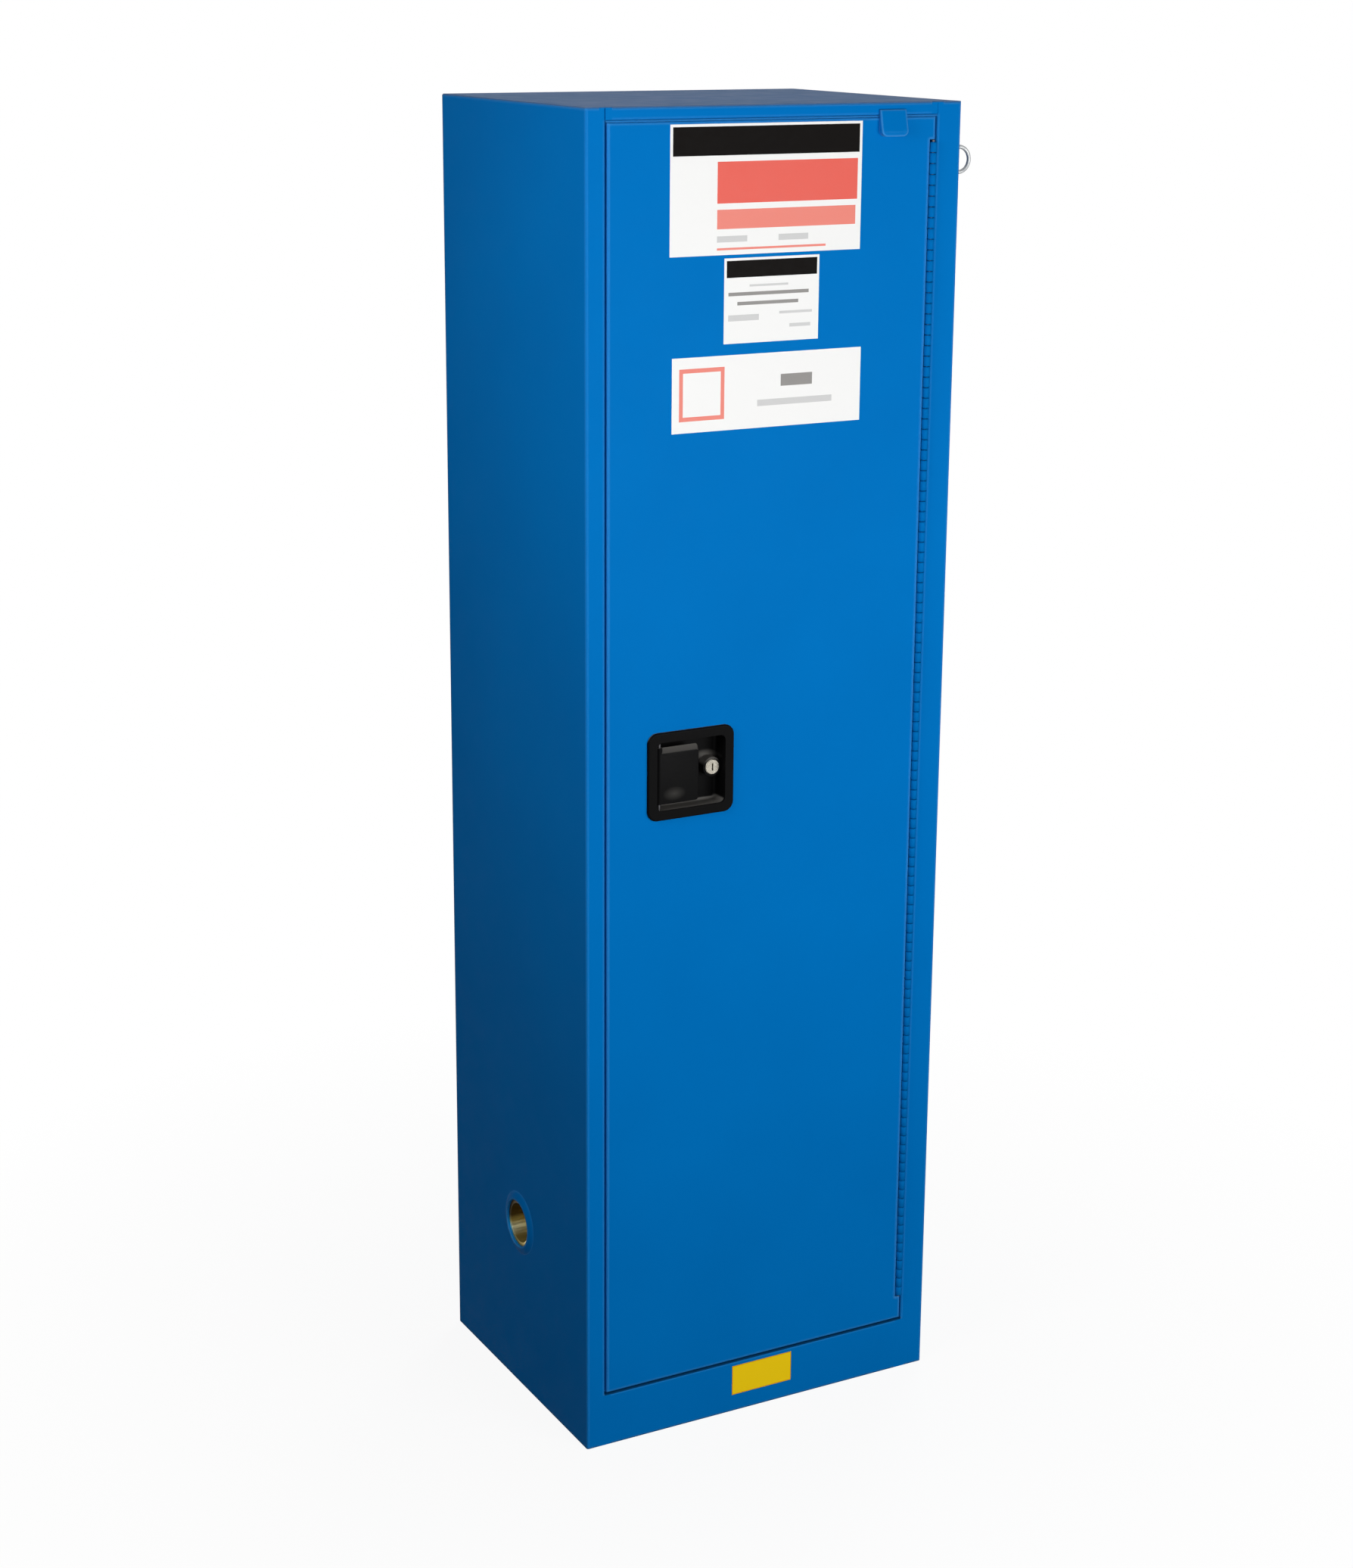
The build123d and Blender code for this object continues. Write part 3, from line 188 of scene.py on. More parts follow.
def covered(tree, share, colour, socket):
    under, cover, result = mixer(tree, "RGBA", share)
    cover.default_value = (*colour, 1.0)
    tree.links.new(result, socket)
    return under


# A mask of faces that look up, from one depth behind the front to another. It carries painted light:
# painted shade on the sill's ledge and a painted sheen on the handle's ledges.
def upward_ledges(tree, begins, full):
    upward = remap(tree, axes(tree, "Normal")["Z"], *FACES_UP)
    inside = remap(tree, axes(tree, "Object")["Y"], begins, full)
    return reckon(tree, "MULTIPLY", upward, inside)


def off_the_seams(tree):
    spot = axes(tree, "Object")
    near = []
    for seam in SEAMS:
        away = reckon(tree, "ABSOLUTE", reckon(tree, "SUBTRACT", spot["X"], seam))
        near.append(reckon(tree, "LESS_THAN", away, SEAM_HALF))
    under_door = reckon(tree, "LESS_THAN", spot["Z"], door_low[2] - SEAM_MARGIN)
    over_door = reckon(tree, "GREATER_THAN", spot["Z"], door_high[2] + SEAM_MARGIN)
    rails = reckon(tree, "MAXIMUM", under_door, over_door)
    return reckon(tree, "SUBTRACT", 1.0, reckon(tree, "MULTIPLY", reckon(tree, "MAXIMUM", *near), rails))


# A fold is where the rounded normal turns away from the flat one.
def rounded_folds(tree, radius):
    fold = tree.nodes.new("ShaderNodeBevel")
    fold.samples = FOLD_SAMPLES
    fold.inputs["Radius"].default_value = radius
    flat = tree.nodes.new("ShaderNodeNewGeometry")
    match = tree.nodes.new("ShaderNodeVectorMath")
    match.operation = "DOT_PRODUCT"
    tree.links.new(fold.outputs["Normal"], match.inputs[0])
    tree.links.new(flat.outputs["Normal"], match.inputs[1])
    turned = remap(tree, match.outputs["Value"], *FOLD_TURN)
    clear = off_the_seams(tree)
    on_seam, elsewhere, normal = mixer(tree, "VECTOR", clear)
    tree.links.new(flat.outputs["Normal"], on_seam)
    tree.links.new(fold.outputs["Normal"], elsewhere)
    return normal, reckon(tree, "MULTIPLY", turned, clear)


def powder_coat(name, blues, roughness, gloss, shade_from=None, fold=FOLD_RADIUS):
    material, tree, shader = finish(name, blues["light"], roughness, gloss=gloss)
    coat = shader.inputs["Base Color"]
    if shade_from is not None:
        # Painted shade on the ledge behind the face, where the door gap's shade falls.
        ledge_shade = upward_ledges(tree, shade_from + LEDGE_SHADE_GONE, shade_from + LEDGE_SHADE_FULL)
        coat = covered(tree, ledge_shade, LEDGE_SHADE, coat)
    normal, turned = rounded_folds(tree, fold)
    # The fold colour is painted along the folds: painted light, a highlight on the case and shade on the
    # hinge.
    sheet = covered(tree, turned, blues["folds"], coat)
    shade(tree, grain(tree, PATCHES), blues["dark"], blues["light"], sheet)
    roughen(tree, shader, grain(tree, CLOUDS), roughness - CLOUD_ROUGHNESS, roughness + CLOUD_ROUGHNESS)
    relief(tree, grain(tree, PEEL, detail=2.0), shader, PEEL_STRENGTH, PEEL_DEPTH, under=normal)
    return material


def dress(material, *nodes):
    for node in nodes:
        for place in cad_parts[node].material_slots:
            place.material = material


powder_blue = powder_coat("powder_blue", BLUE, BLUE_ROUGHNESS, BLUE_GLOSS)
# The top face gets its own darker, greyer copy of the coat: painted shade and a painted grey sheen.
shaded_top_blue = powder_coat("shaded_top_blue", SHADED_TOP, SHADED_TOP_ROUGHNESS, SHADED_TOP_GLOSS)
# The sill's coat has painted shade on its ledge under the door.
sill_blue = powder_coat("sill_blue", BLUE, BLUE_ROUGHNESS, BLUE_GLOSS, shade_from=sill_low[1])
dress(powder_blue, "outer_left_side", "outer_right_side", "outer_back", "front_top_rail")
dress(sill_blue, "front_sill_rail")
dress(shaded_top_blue, "outer_top")


# Head strip: a narrow flat of the same sheet, spot welded under the top rail just behind its face.
# It hangs to a hair above the closed door and covers the gap there.
rail_low, rail_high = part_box("front_top_rail")
RAIL_HEIGHT = 0.015
STRIP_SET_BACK = 0.0002
STRIP_SHEET = 0.0012
STRIP_CLEARANCE = 0.0002
STRIP_END = 0.0001


def keep_mesh(name, mesh, *materials):
    piece = bpy.data.objects.new(name, mesh)
    bpy.context.scene.collection.objects.link(piece)
    for material in materials:
        mesh.materials.append(material)
    return piece


def keep_build(name, build, *materials):
    mesh = bpy.data.meshes.new(name)
    build.to_mesh(mesh)
    build.free()
    return keep_mesh(name, mesh, *materials)


def add_box(build, low, high):
    low, high = Vector(low), Vector(high)
    for corner in bmesh.ops.create_cube(build, size=1.0)["verts"]:
        corner.co = (low + high) / 2 + Vector(share * span for share, span in zip(corner.co, high - low))


strip_front = rail_low[1] + STRIP_SET_BACK
build = bmesh.new()
add_box(build, (rail_low[0] + STRIP_END, strip_front, door_high[2] + STRIP_CLEARANCE),
        (rail_high[0] - STRIP_END, strip_front + STRIP_SHEET, cad_box[1][2] - RAIL_HEIGHT))
strip = keep_build("head_strip", build, powder_blue)
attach(strip, "cabinet")


# Base pan and levelling feet: an inverted steel tray inside the skirt, with a welded nut at each corner.
# The feet are zinc plated pressings on threaded studs, screwed up into the nuts.
def plated(name, colour, dark, light, patches, roughness, pores):
    smooth, usual, rough = roughness
    material, tree, shader = finish(name, colour, usual, metallic=1.0)
    shade(tree, grain(tree, patches), dark, light, shader.inputs["Base Color"])
    roughen(tree, shader, grain(tree, pores), smooth, rough)
    return material


bright_zinc = plated("bright_zinc", (0.55, 0.56, 0.57), dark=(0.47, 0.48, 0.48), light=(0.60, 0.60, 0.59),
                     patches=60.0, roughness=(0.28, 0.34, 0.42), pores=240.0)
dress(powder_blue, "base_pan")
dress(bright_zinc, "foot_nuts", "front_left_foot", "front_right_foot", "rear_left_foot", "rear_right_foot")


# Liner and sump: the inner walls and the leak-proof tray, of the same sheet and the same blue coat.
# They stand 38 mm inside the outer walls and are welded to the door stops.
dress(powder_blue, "liner_left_side", "liner_right_side", "liner_back", "liner_top", "sump_pan")


# Shelves on slotted standards: galvanised steel with its frosted crystal pattern.
# The shelves are folded at front and back and lie loose on hooked clips.
CRYSTALS = 105.0
galvanised, tree, shader = finish("galvanised", (0.40, 0.41, 0.42), roughness=0.52, metallic=1.0)
place = tree.nodes.new("ShaderNodeTexCoord")
crystals = tree.nodes.new("ShaderNodeTexVoronoi")
crystals.inputs["Scale"].default_value = CRYSTALS
tree.links.new(place.outputs["Object"], crystals.inputs["Vector"])
frost = crystals.outputs["Color"]
shade(tree, frost, (0.35, 0.36, 0.375), (0.45, 0.46, 0.465), shader.inputs["Base Color"])
roughen(tree, shader, frost, smooth=0.48, rough=0.58)
dress(galvanised, "shelf_standards", "shelf_clips", "bottom_shelf", "middle_shelf", "top_shelf")


# Vents: turned brass bushes through both walls, each with a pressed-in flame screen, inside
# a painted collar drawn out of the side panel. The brass is painted with painted shade in its upper half,
# a painted highlight across the middle and brown below it.
BORE_LIGHT = ((0.00, (0.16, 0.115, 0.03)), (0.19, (0.40, 0.31, 0.10)), (0.30, (1.00, 0.96, 0.62)),
           (0.40, (0.55, 0.43, 0.14)), (0.50, (0.10, 0.065, 0.020)), (1.00, (0.03, 0.020, 0.007)))
TOOL_MARKS = 500.0
ALONG_BORE = (0.1, 1.0, 1.0)

for side in ("lower", "upper"):
    bush = side + "_vent_bush"
    bush_low, bush_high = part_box(bush)
    turned_brass, tree, shader = finish(side + "_brass", (0.5, 0.4, 0.14), roughness=0.48, metallic=1.0)
    level = remap(tree, axes(tree, "Object")["Z"], bush_low[2], bush_high[2])
    # Painted light up the bore: brown at the foot, a painted highlight across the middle, painted shade in
    # the upper half.
    ramp(tree, level, BORE_LIGHT, shader.inputs["Base Color"])
    marks_and_highlights = grain(tree, TOOL_MARKS, detail=2.0, stretch=ALONG_BORE)
    roughen(tree, shader, marks_and_highlights, smooth=0.38, rough=0.56)
    dress(turned_brass, bush, side + "_flame_arrester")


# Hold-open eye and ground stud on the hinge side: bent wire with a dull zinc coat, and a plain stud.
# The stud, the nuts of both and the strike plates behind the frame have a bright zinc coat.
dull_zinc = plated("dull_zinc", (0.36, 0.37, 0.38), dark=(0.30, 0.31, 0.32), light=(0.42, 0.43, 0.43),
                   patches=90.0, roughness=(0.44, 0.50, 0.58), pores=300.0)
dress(dull_zinc, "hold_open_eye")
dress(bright_zinc, "hold_open_eye_nuts", "ground_stud", "ground_nuts")
dress(bright_zinc, "top_strike", "bottom_strike", "side_strike")


# Door: a folded front tray closed by a flat inner pan, coated like the case.
# A small folded catch is welded to its face, at the top near the hinge.
dress(powder_blue, "door_outer_skin", "door_inner_skin", "hold_open_catch")


# Piano hinge: two long steel leaves whose curled knuckles take turns round one pin.
# It lies in a pocket of the door's edge and is coated with the case. Its coat is painted darker,
# darkest at the knuckles' edges: painted shade in the pocket and in the joints.
pin_low, pin_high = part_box("hinge_pin")
leaf_low, leaf_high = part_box("hinge_frame_leaf")
HINGE_X = (pin_low[0] + pin_high[0]) / 2
HINGE_Y = (pin_low[1] + pin_high[1]) / 2
HINGE_FOOT = leaf_low[2]
KNUCKLE_COUNT = 59
KNUCKLE_PITCH = (leaf_high[2] - leaf_low[2]) / KNUCKLE_COUNT
KNUCKLE_GAP = 0.0003
KNUCKLE_LENGTH = KNUCKLE_PITCH / 2 - 2 * KNUCKLE_GAP
KNUCKLE_RADIUS = 0.0044
KNUCKLE_CHAMFER = 0.0004
KNUCKLE_SIDES = 20
LEAF_SHEET = 0.0015
LEAF_SIDE = leaf_high[0] - HINGE_X
LEAF_START = 0.0067
LEAF_END = leaf_high[1] - HINGE_Y
# Painted shade: the hinge's coat is darker than the case's, and darkest along its knuckles' edges.
SHADED_HINGE = {"dark": (0.0, 0.140, 0.44), "light": (0.0, 0.155, 0.49), "folds": (0.0, 0.045, 0.15)}
JOINT_SHADE_RADIUS = 0.0015
STEEL_PORES = 420.0


def add_loop(build, corners):
    return [build.verts.new(corner) for corner in corners]


def add_band(build, first, second, smooth=False):
    for step in range(len(first)):
        following = (step + 1) % len(first)
        build.faces.new((first[step], first[following], second[following], second[step])).smooth = smooth


def circle(centre_x, centre_y, radius, height, sides):
    turns = [math.tau * step / sides for step in range(sides)]
    return [(centre_x + radius * math.cos(turn), centre_y + radius * math.sin(turn), height)
            for turn in turns]


# A flat beside the hinge's axis, on the frame's side of it or the door's.
def add_upright(build, side, near, far, start, end, foot, top):
    ends = sorted((HINGE_X + side * near, HINGE_X + side * far))
    add_box(build, (ends[0], HINGE_Y + start, foot), (ends[1], HINGE_Y + end, top))


def single_knuckle(side):
    build = bmesh.new()
    full, small = KNUCKLE_RADIUS, KNUCKLE_RADIUS - KNUCKLE_CHAMFER
    levels = ((0.0, small), (KNUCKLE_CHAMFER, full),
              (KNUCKLE_LENGTH - KNUCKLE_CHAMFER, full), (KNUCKLE_LENGTH, small))
    rings = [add_loop(build, circle(HINGE_X, HINGE_Y, radius, height, KNUCKLE_SIDES))
             for height, radius in levels]
    for low, high in zip(rings, rings[1:]):
        add_band(build, low, high, smooth=True)
    build.faces.new(reversed(rings[0]))
    build.faces.new(rings[-1])
    add_upright(build, side, small, LEAF_SIDE, 0.0, LEAF_START, 0.0, KNUCKLE_LENGTH)
    return keep_build("single_knuckle", build, hinge_blue)


hinge_blue = powder_coat("hinge_blue", SHADED_HINGE, BLUE_ROUGHNESS, BLUE_GLOSS, fold=JOINT_SHADE_RADIUS)
row = bpy.data.node_groups.new("knuckle_row", "GeometryNodeTree")
row.interface.new_socket("Knuckle", in_out="INPUT", socket_type="NodeSocketGeometry")
first_at = row.interface.new_socket("First", in_out="INPUT", socket_type="NodeSocketFloat").identifier
pitch_at = row.interface.new_socket("Pitch", in_out="INPUT", socket_type="NodeSocketFloat").identifier
count_at = row.interface.new_socket("Count", in_out="INPUT", socket_type="NodeSocketInt").identifier
row.interface.new_socket("Row", in_out="OUTPUT", socket_type="NodeSocketGeometry")
given = row.nodes.new("NodeGroupInput")
start = row.nodes.new("ShaderNodeCombineXYZ")
step = row.nodes.new("ShaderNodeCombineXYZ")
points = row.nodes.new("GeometryNodeMeshLine")
spaced = row.nodes.new("GeometryNodeInstanceOnPoints")
joined = row.nodes.new("GeometryNodeRealizeInstances")
coated = row.nodes.new("GeometryNodeSetMaterial")
coated.inputs["Material"].default_value = hinge_blue
result = row.nodes.new("NodeGroupOutput")
row.links.new(given.outputs["First"], start.inputs["Z"])
row.links.new(given.outputs["Pitch"], step.inputs["Z"])
row.links.new(given.outputs["Count"], points.inputs["Count"])
row.links.new(start.outputs["Vector"], points.inputs["Start Location"])
row.links.new(step.outputs["Vector"], points.inputs["Offset"])
row.links.new(points.outputs["Mesh"], spaced.inputs["Points"])
row.links.new(given.outputs["Knuckle"], spaced.inputs["Instance"])
row.links.new(spaced.outputs["Instances"], joined.inputs["Geometry"])
row.links.new(joined.outputs["Geometry"], coated.inputs["Geometry"])
row.links.new(coated.outputs["Geometry"], result.inputs["Row"])

for node, body, side, first in (("hinge_frame_leaf", "cabinet", 1, 0.0),
                                ("hinge_door_leaf", "door", -1, KNUCKLE_PITCH / 2)):
    single = single_knuckle(side)
    pattern = single.modifiers.new("row", "NODES")
    pattern.node_group = row
    pattern[first_at] = HINGE_FOOT + first + KNUCKLE_GAP
    pattern[pitch_at] = KNUCKLE_PITCH
    pattern[count_at] = KNUCKLE_COUNT
    repeated = single.evaluated_get(bpy.context.evaluated_depsgraph_get())
    knuckles = keep_mesh(node + "_knuckles", bpy.data.meshes.new_from_object(repeated))
    bpy.data.objects.remove(single)
    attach(knuckles, body)
    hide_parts(node)
    build = bmesh.new()
    add_upright(build, side, LEAF_SIDE - LEAF_SHEET, LEAF_SIDE, LEAF_START, LEAF_END,
                HINGE_FOOT, HINGE_FOOT + KNUCKLE_COUNT * KNUCKLE_PITCH)
    plate = keep_build(node + "_plate", build, hinge_blue)
    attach(plate, body)

dark_steel, tree, shader = finish("dark_steel", (0.07, 0.07, 0.075), roughness=0.45, metallic=1.0)
roughen(tree, shader, grain(tree, STEEL_PORES), smooth=0.38, rough=0.54)
dress(dark_steel, "hinge_pin")


# Handle: a moulded black dish whose rounded rim lies on the door sheet, screwed to a steel ring behind it.
# Grey is painted on it as painted highlights: a sheen on its up-facing ledges, a patch on the boss above
# the key lock, and a soft patch low on the paddle.
lock_low, lock_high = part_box("lock_cylinder")
paddle_low, paddle_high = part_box("paddle")
RIM_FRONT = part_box("handle_bezel")[0][1]
LOCK_X = (lock_low[0] + lock_high[0]) / 2
LOCK_Z = 0.870
# Painted highlights in grey on the handle: a sheen on its up-facing ledges, a patch on the boss above the
# lock, and a patch low on the paddle.
SHEEN_BEGINS = 0.0022
SHEEN_FULL = 0.0030
BOSS_HIGHLIGHT_AT = (LOCK_X - 0.004, RIM_FRONT + 0.018, LOCK_Z + 0.012)
BOSS_HIGHLIGHT_REACH = (0.018, 0.03, 0.008)
PADDLE_HIGHLIGHT_AT = (-0.133, paddle_low[1], 0.846)
PADDLE_HIGHLIGHT_REACH = (0.016, 0.02, 0.009)
PADDLE_HIGHLIGHT_SHARE = 0.30
HIGHLIGHT_GREY = (0.125, 0.120, 0.112)
MOULDING_BLACK = (0.003, 0.003, 0.0032)
MOULDING_PATCHES = 320.0
MOULDING_GRAIN = 1500.0


# A soft round patch, full at its centre and gone at its reach.
def round_patch(tree, centre, reach):
    place = tree.nodes.new("ShaderNodeTexCoord")
    turn = tree.nodes.new("ShaderNodeMapping")
    turn.inputs["Scale"].default_value = tuple(1 / size for size in reach)
    turn.inputs["Location"].default_value = tuple(-at / size for at, size in zip(centre, reach))
    away = tree.nodes.new("ShaderNodeVectorMath")
    away.operation = "LENGTH"
    tree.links.new(place.outputs["Object"], turn.inputs["Vector"])
    tree.links.new(turn.outputs["Vector"], away.inputs[0])
    return remap(tree, away.outputs["Value"], 1.0, 0.0)


black_moulding, tree, shader = finish("black_moulding", MOULDING_BLACK, roughness=0.42, gloss=0.03)
# Grey painted highlights on the black: a sheen on the ledges and patches on the boss and the paddle.
ledge_sheen = upward_ledges(tree, RIM_FRONT + SHEEN_BEGINS, RIM_FRONT + SHEEN_FULL)
boss_highlight = round_patch(tree, BOSS_HIGHLIGHT_AT, BOSS_HIGHLIGHT_REACH)
paddle_highlight = reckon(tree, "MULTIPLY", PADDLE_HIGHLIGHT_SHARE, round_patch(tree, PADDLE_HIGHLIGHT_AT, PADDLE_HIGHLIGHT_REACH))
marks_and_highlights = reckon(tree, "MAXIMUM", ledge_sheen, reckon(tree, "MAXIMUM", boss_highlight, paddle_highlight))
bare_black = covered(tree, marks_and_highlights, HIGHLIGHT_GREY, shader.inputs["Base Color"])
bare_black.default_value = (*MOULDING_BLACK, 1.0)
roughen(tree, shader, grain(tree, MOULDING_PATCHES), smooth=0.36, rough=0.50)
relief(tree, grain(tree, MOULDING_GRAIN, detail=2.0), shader, strength=0.12, depth=0.0004)
dress(black_moulding, "handle_bezel")
dress(bright_zinc, "handle_clamp", "handle_screws")


# Paddle: a die cast plate with a sloped top edge, coated black like the dish, which a hand pulls out.
# It turns on a steel pin at its left, in a barrel hollowed for the spring, and a tail behind it
# works the latch.
spring_low, spring_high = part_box("paddle_spring")
PADDLE_FRONT = paddle_low[1]
PADDLE_SHEET = 0.0035
PADDLE_CORNER = 0.004
PADDLE_CORNER_STEPS = 6
PADDLE_CHAMFER = 0.0006
PADDLE_SLOPE = 0.0075
CHAMFER_SLOPE_SHARE = 0.8
BARREL_RADIUS = 0.004
BARREL_BORE = 0.0019
BARREL_SIDES = 32
PADDLE_AXIS = paddle_low[0] + BARREL_RADIUS
SPRING_ROOM = 0.0034
SPRING_GAP = 0.0003
TAIL_HALF = 0.002
TAIL_START = 0.0065
TAIL_SPAN = (0.838, 0.863)
SHARP_EDGE = math.radians(28)


def plate_outline(y, top_drop, inset):
    right = paddle_high[0] - inset - PADDLE_CORNER
    low, high = paddle_low[2] + inset, paddle_high[2] - top_drop - inset
    outline = [(PADDLE_AXIS, y, low)]
    for centre, start in ((low + PADDLE_CORNER, -90), (high - PADDLE_CORNER, 0)):
        for step in range(PADDLE_CORNER_STEPS + 1):
            turn = math.radians(start + 90 * step / PADDLE_CORNER_STEPS)
            across, up = PADDLE_CORNER * math.cos(turn), PADDLE_CORNER * math.sin(turn)
            outline.append((right + across, y, centre + up))
    return outline + [(PADDLE_AXIS, y, high)]


build = bmesh.new()
outlines = (plate_outline(PADDLE_FRONT, PADDLE_SLOPE, PADDLE_CHAMFER),
            plate_outline(PADDLE_FRONT + PADDLE_CHAMFER, PADDLE_SLOPE * CHAMFER_SLOPE_SHARE, 0.0),
            plate_outline(PADDLE_FRONT + PADDLE_SHEET, 0.0, 0.0))
rings = [add_loop(build, outline) for outline in outlines]
build.faces.new(rings[0])
build.faces.new(reversed(rings[-1]))
for first, second in zip(rings, rings[1:]):
    add_band(build, second, first)
room_low, room_high = spring_low[2] - SPRING_GAP, spring_high[2] + SPRING_GAP
barrel = ((BARREL_RADIUS, paddle_low[2]), (BARREL_RADIUS, paddle_high[2]), (BARREL_BORE, paddle_high[2]),
          (BARREL_BORE, room_high), (SPRING_ROOM, room_high), (SPRING_ROOM, room_low),
          (BARREL_BORE, room_low), (BARREL_BORE, paddle_low[2]))
rings = [add_loop(build, circle(PADDLE_AXIS, PADDLE_FRONT + BARREL_RADIUS, radius, height, BARREL_SIDES))
         for radius, height in barrel]
for first, second in zip(rings, rings[1:] + rings[:1]):
    add_band(build, first, second)
add_box(build, (PADDLE_AXIS - TAIL_HALF, PADDLE_FRONT + TAIL_START, TAIL_SPAN[0]),
        (PADDLE_AXIS + TAIL_HALF, paddle_high[1], TAIL_SPAN[1]))
bmesh.ops.recalc_face_normals(build, faces=build.faces)
for face in build.faces:
    face.smooth = True
pull = keep_build("paddle_pull", build, black_moulding)
pull.data.set_sharp_from_angle(angle=SHARP_EDGE)
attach(pull, "paddle")
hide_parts("paddle")
dress(dark_steel, "paddle_pin", "paddle_spring")


# Key lock: a chromed cylinder in the dish's boss, a little yellowed and dulled with use.
# A zinc plated cam is fixed to its inner end.
lock_chrome = plated("lock_chrome", (0.34, 0.32, 0.27), dark=(0.26, 0.24, 0.20), light=(0.40, 0.38, 0.33),
                     patches=110.0, roughness=(0.20, 0.30, 0.34), pores=900.0)
dress(lock_chrome, "lock_cylinder")
dress(bright_zinc, "lock_cam")


# Three-point latch inside the door: a forked cam on a post draws two long rods, and the paddle's tail
# draws a side bolt. All are zinc plated steel and run in guides fixed inside the door.
dress(bright_zinc, "latch_cam", "latch_cam_post", "top_rod", "top_bullet", "bottom_rod", "bottom_bullet",
      "side_bolt", "rod_guides", "bolt_guide")


# Vinyl panels on the door and a small plain sticker on the sill, stuck flat on the paint.
# Each is a sheet a quarter of a millimetre thick with plain bars and blocks of ink on it.
# A block's left, right, foot and top, and how far it stands off the paint, are in millimetres.
MM = 1000
SHEET = 0.25
INK = 0.30
SECOND_INK = 0.35
DOOR_FACE = door_low[1]
SILL_FACE = sill_low[1]
VINYL_PATCHES = 160.0
VINYL_WAVES = 90.0


def vinyl(name, colour, gloss=0.12):
    material, tree, shader = finish(name, colour, roughness=0.38, gloss=gloss)
    roughen(tree, shader, grain(tree, VINYL_PATCHES), smooth=0.34, rough=0.46)
    relief(tree, grain(tree, VINYL_WAVES), shader, strength=0.05, depth=0.0005)
    return material


vinyl_white = vinyl("vinyl_white", (0.90, 0.90, 0.89))
vinyl_black = vinyl("vinyl_black", (0.007, 0.006, 0.0055), gloss=0.015)
vinyl_red = vinyl("vinyl_red", (0.80, 0.12, 0.09))
vinyl_rose = vinyl("vinyl_rose", (0.84, 0.24, 0.19))
vinyl_grey = vinyl("vinyl_grey", (0.28, 0.27, 0.26))
vinyl_pale = vinyl("vinyl_pale", (0.62, 0.62, 0.62))
vinyl_yellow = vinyl("vinyl_yellow", (1.0, 0.68, 0.004))
vinyl_amber = vinyl("vinyl_amber", (0.80, 0.38, 0.005))


def panel(name, body, face, blocks):
    build = bmesh.new()
    inks = []
    for left, right, foot, top, lift, ink in blocks:
        if ink not in inks:
            inks.append(ink)
        before = set(build.faces)
        add_box(build, (left / MM, face - lift / MM, foot / MM), (right / MM, face, top / MM))
        for side in set(build.faces) - before:
            side.material_index = inks.index(ink)
    piece = keep_build(name, build, *inks)
    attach(piece, body)


panel("top_panel", "door", DOOR_FACE, [
    (-143.5, 111.5, 1482.5, 1630.5, SHEET, vinyl_white),
    (-140.0, 108.0, 1595.0, 1627.5, INK, vinyl_black),
    (-82.0, 106.0, 1541.0, 1588.0, INK, vinyl_red),
    (-82.0, 104.0, 1512.0, 1534.0, INK, vinyl_rose),
    (-82.0, -42.0, 1497.0, 1504.0, INK, vinyl_pale),
    (0.0, 40.0, 1497.0, 1504.0, INK, vinyl_pale),
    (-82.0, 64.0, 1488.0, 1490.5, INK, vinyl_rose),
])
panel("middle_panel", "door", DOOR_FACE, [
    (-71.7, 56.0, 1380.0, 1478.5, SHEET, vinyl_white),
    (-68.5, 53.0, 1456.0, 1475.5, INK, vinyl_black),
    (-38.0, 14.0, 1445.0, 1447.5, INK, vinyl_pale),
    (-66.0, 42.0, 1435.0, 1439.0, INK, vinyl_grey),
    (-54.0, 28.0, 1424.0, 1428.0, INK, vinyl_grey),
    (2.5, 47.0, 1412.0, 1415.0, INK, vinyl_pale),
    (-66.0, -25.0, 1406.0, 1413.0, INK, vinyl_pale),
    (16.5, 45.0, 1396.0, 1400.0, INK, vinyl_pale),
])
panel("lower_panel", "door", DOOR_FACE, [
    (-139.5, 116.2, 1279.5, 1367.0, SHEET, vinyl_white),
    (-130.0, -70.0, 1293.0, 1354.0, INK, vinyl_rose),
    (-125.0, -75.0, 1298.0, 1349.0, SECOND_INK, vinyl_white),
    (6.0, 49.0, 1327.0, 1341.0, INK, vinyl_grey),
    (-25.5, 76.5, 1305.0, 1312.5, INK, vinyl_pale),
])
panel("sill_sticker", "cabinet", SILL_FACE, [
    (-41.2, 47.0, 22.7, 63.5, SHEET, vinyl_amber),
    (-40.0, 45.8, 23.9, 62.3, INK, vinyl_yellow),
])


# Studio: a pale floor that fades into a white surround and keeps the cabinet's faint shadow,
# with five soft lamps: two in front, one each at the left, behind and overhead.
# The camera stands at the left front, a little above the cabinet, with its lens shifted down.
WHITE = (1.0, 1.0, 1.0, 1.0)
FLOOR_HALF = 9.0
FLOOR_GREY = 0.85
FLOOR_BOUNCE_LOSS = -0.75
FADE_FROM = 0.3
FADE_TO = 1.3
FADE_NEAR = 0.92
SURROUND_LIGHT = 0.045
SENSOR = 36.0
FRAME_HEIGHT = 2072.0
FOCAL_PIXELS = 3647.0
SHIFT_PIXELS = -86.0
CAMERA_AT = (-1.6496, -2.9807, 1.7905)
CAMERA_TURN = (74.956, -0.404, -28.507)
CAMERA_REACH = 60.0

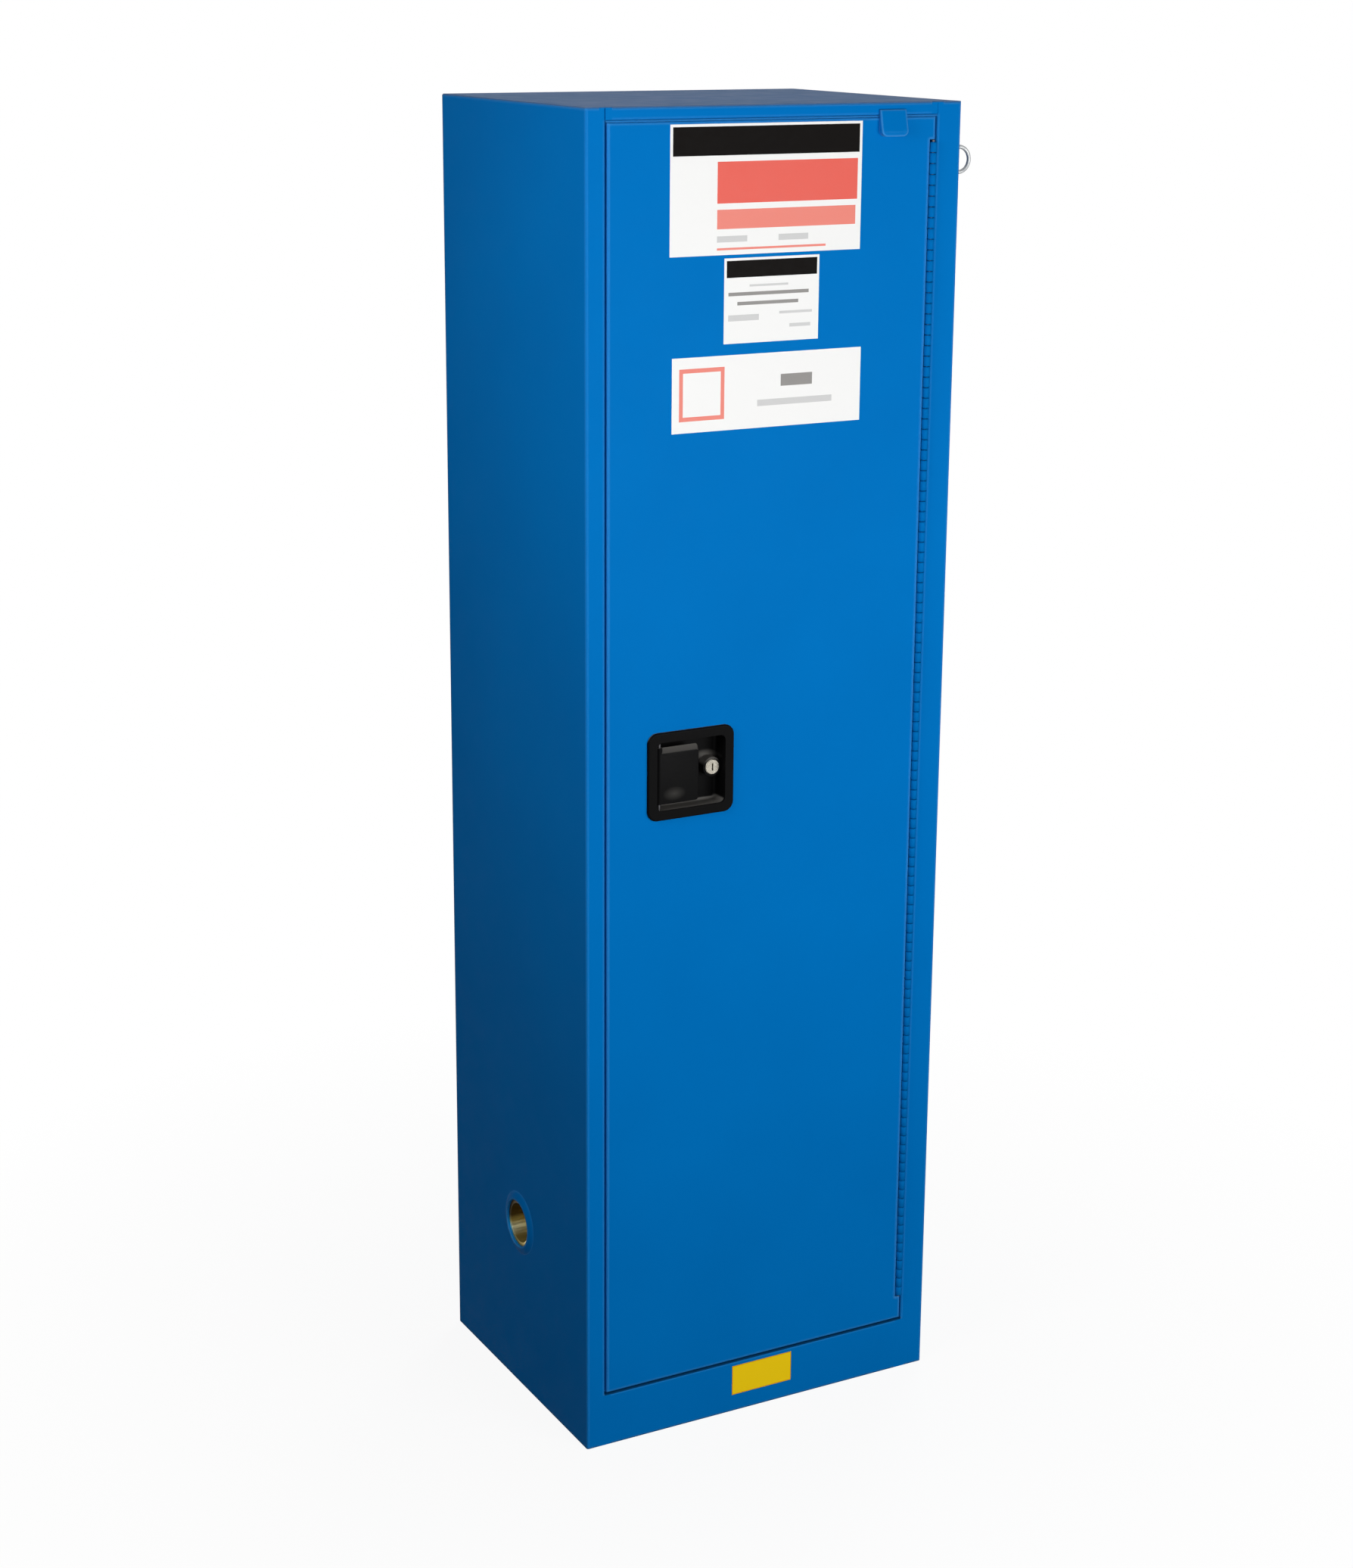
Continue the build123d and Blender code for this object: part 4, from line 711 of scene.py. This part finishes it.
pale_floor, tree, shader = finish("pale_floor", (FLOOR_GREY,) * 3, roughness=0.8, gloss=0.1)
white = tree.nodes.new("ShaderNodeEmission")
white.inputs["Strength"].default_value = 1.0
rays = tree.nodes.new("ShaderNodeLightPath").outputs
place = tree.nodes.new("ShaderNodeTexCoord")
away = tree.nodes.new("ShaderNodeVectorMath")
away.operation = "LENGTH"
tree.links.new(place.outputs["Object"], away.inputs[0])
fade = remap(tree, away.outputs["Value"], FADE_FROM, FADE_TO, low=FADE_NEAR)
seen = reckon(tree, "MAXIMUM", rays["Is Camera Ray"], rays["Is Glossy Ray"])
grey = reckon(tree, "MULTIPLY_ADD", rays["Is Diffuse Ray"], FLOOR_BOUNCE_LOSS, FLOOR_GREY)
blend = tree.nodes.new("ShaderNodeMixShader")
tree.links.new(grey, shader.inputs["Base Color"])
tree.links.new(reckon(tree, "MULTIPLY", seen, fade), blend.inputs["Fac"])
tree.links.new(shader.outputs["BSDF"], blend.inputs[1])
tree.links.new(white.outputs["Emission"], blend.inputs[2])
tree.links.new(blend.outputs["Shader"], tree.nodes["Material Output"].inputs["Surface"])
build = bmesh.new()
bmesh.ops.create_grid(build, x_segments=2, y_segments=2, size=FLOOR_HALF)
floor = keep_build("studio_floor", build, pale_floor)

world = bpy.data.worlds.new("studio")
world.use_nodes = True
bpy.context.scene.world = world
tree = world.node_tree
soft = tree.nodes["Background"]
soft.inputs["Color"].default_value = WHITE
soft.inputs["Strength"].default_value = SURROUND_LIGHT
bare = tree.nodes.new("ShaderNodeBackground")
bare.inputs["Color"].default_value = WHITE
bare.inputs["Strength"].default_value = 1.0
rays = tree.nodes.new("ShaderNodeLightPath").outputs
seen = reckon(tree, "MAXIMUM", rays["Is Camera Ray"], rays["Is Glossy Ray"])
blend = tree.nodes.new("ShaderNodeMixShader")
tree.links.new(reckon(tree, "MAXIMUM", seen, rays["Is Transmission Ray"]), blend.inputs["Fac"])
tree.links.new(soft.outputs["Background"], blend.inputs[1])
tree.links.new(bare.outputs["Background"], blend.inputs[2])
tree.links.new(blend.outputs["Shader"], tree.nodes["World Output"].inputs["Surface"])


def lamp(name, place, target, size, power):
    light = bpy.data.lights.new(name, "AREA")
    light.shape = "RECTANGLE"
    light.size, light.size_y = size
    light.energy = power
    holder = bpy.data.objects.new(name, light)
    bpy.context.scene.collection.objects.link(holder)
    holder.visible_camera = False
    holder.location = place
    holder.rotation_euler = (Vector(target) - Vector(place)).to_track_quat("-Z", "Y").to_euler()


lamp("front_lamp", place=(0.72, -2.28, 1.10), target=(0.0, -0.2, 1.5), size=(1.4, 1.0), power=37.0)
lamp("fill_lamp", place=(-1.5, -3.0, 1.75), target=(0.0, -0.2, 0.9), size=(0.8, 0.8), power=23.0)
lamp("left_lamp", place=(-1.325, -0.58, 1.71), target=(-0.25, -0.1, 1.46), size=(0.6, 0.6), power=9.4)
lamp("back_lamp", place=(2.0, 1.9, 1.0), target=(0.1, 0.1, 0.9), size=(1.2, 1.2), power=44.0)
lamp("top_lamp", place=(0.1, 0.3, 3.2), target=(0.0, 0.0, 1.65), size=(1.0, 1.0), power=3.0)

lens = bpy.data.cameras.new("photo_camera")
lens.sensor_width = SENSOR
lens.lens = FOCAL_PIXELS / FRAME_HEIGHT * SENSOR
lens.shift_y = SHIFT_PIXELS / FRAME_HEIGHT
lens.clip_end = CAMERA_REACH
camera = bpy.data.objects.new("photo_camera", lens)
bpy.context.scene.collection.objects.link(camera)
camera.location = CAMERA_AT
camera.rotation_euler = Euler([math.radians(turn) for turn in CAMERA_TURN], "XYZ")
bpy.context.scene.camera = camera

bpy.context.scene.view_settings.view_transform = "Standard"
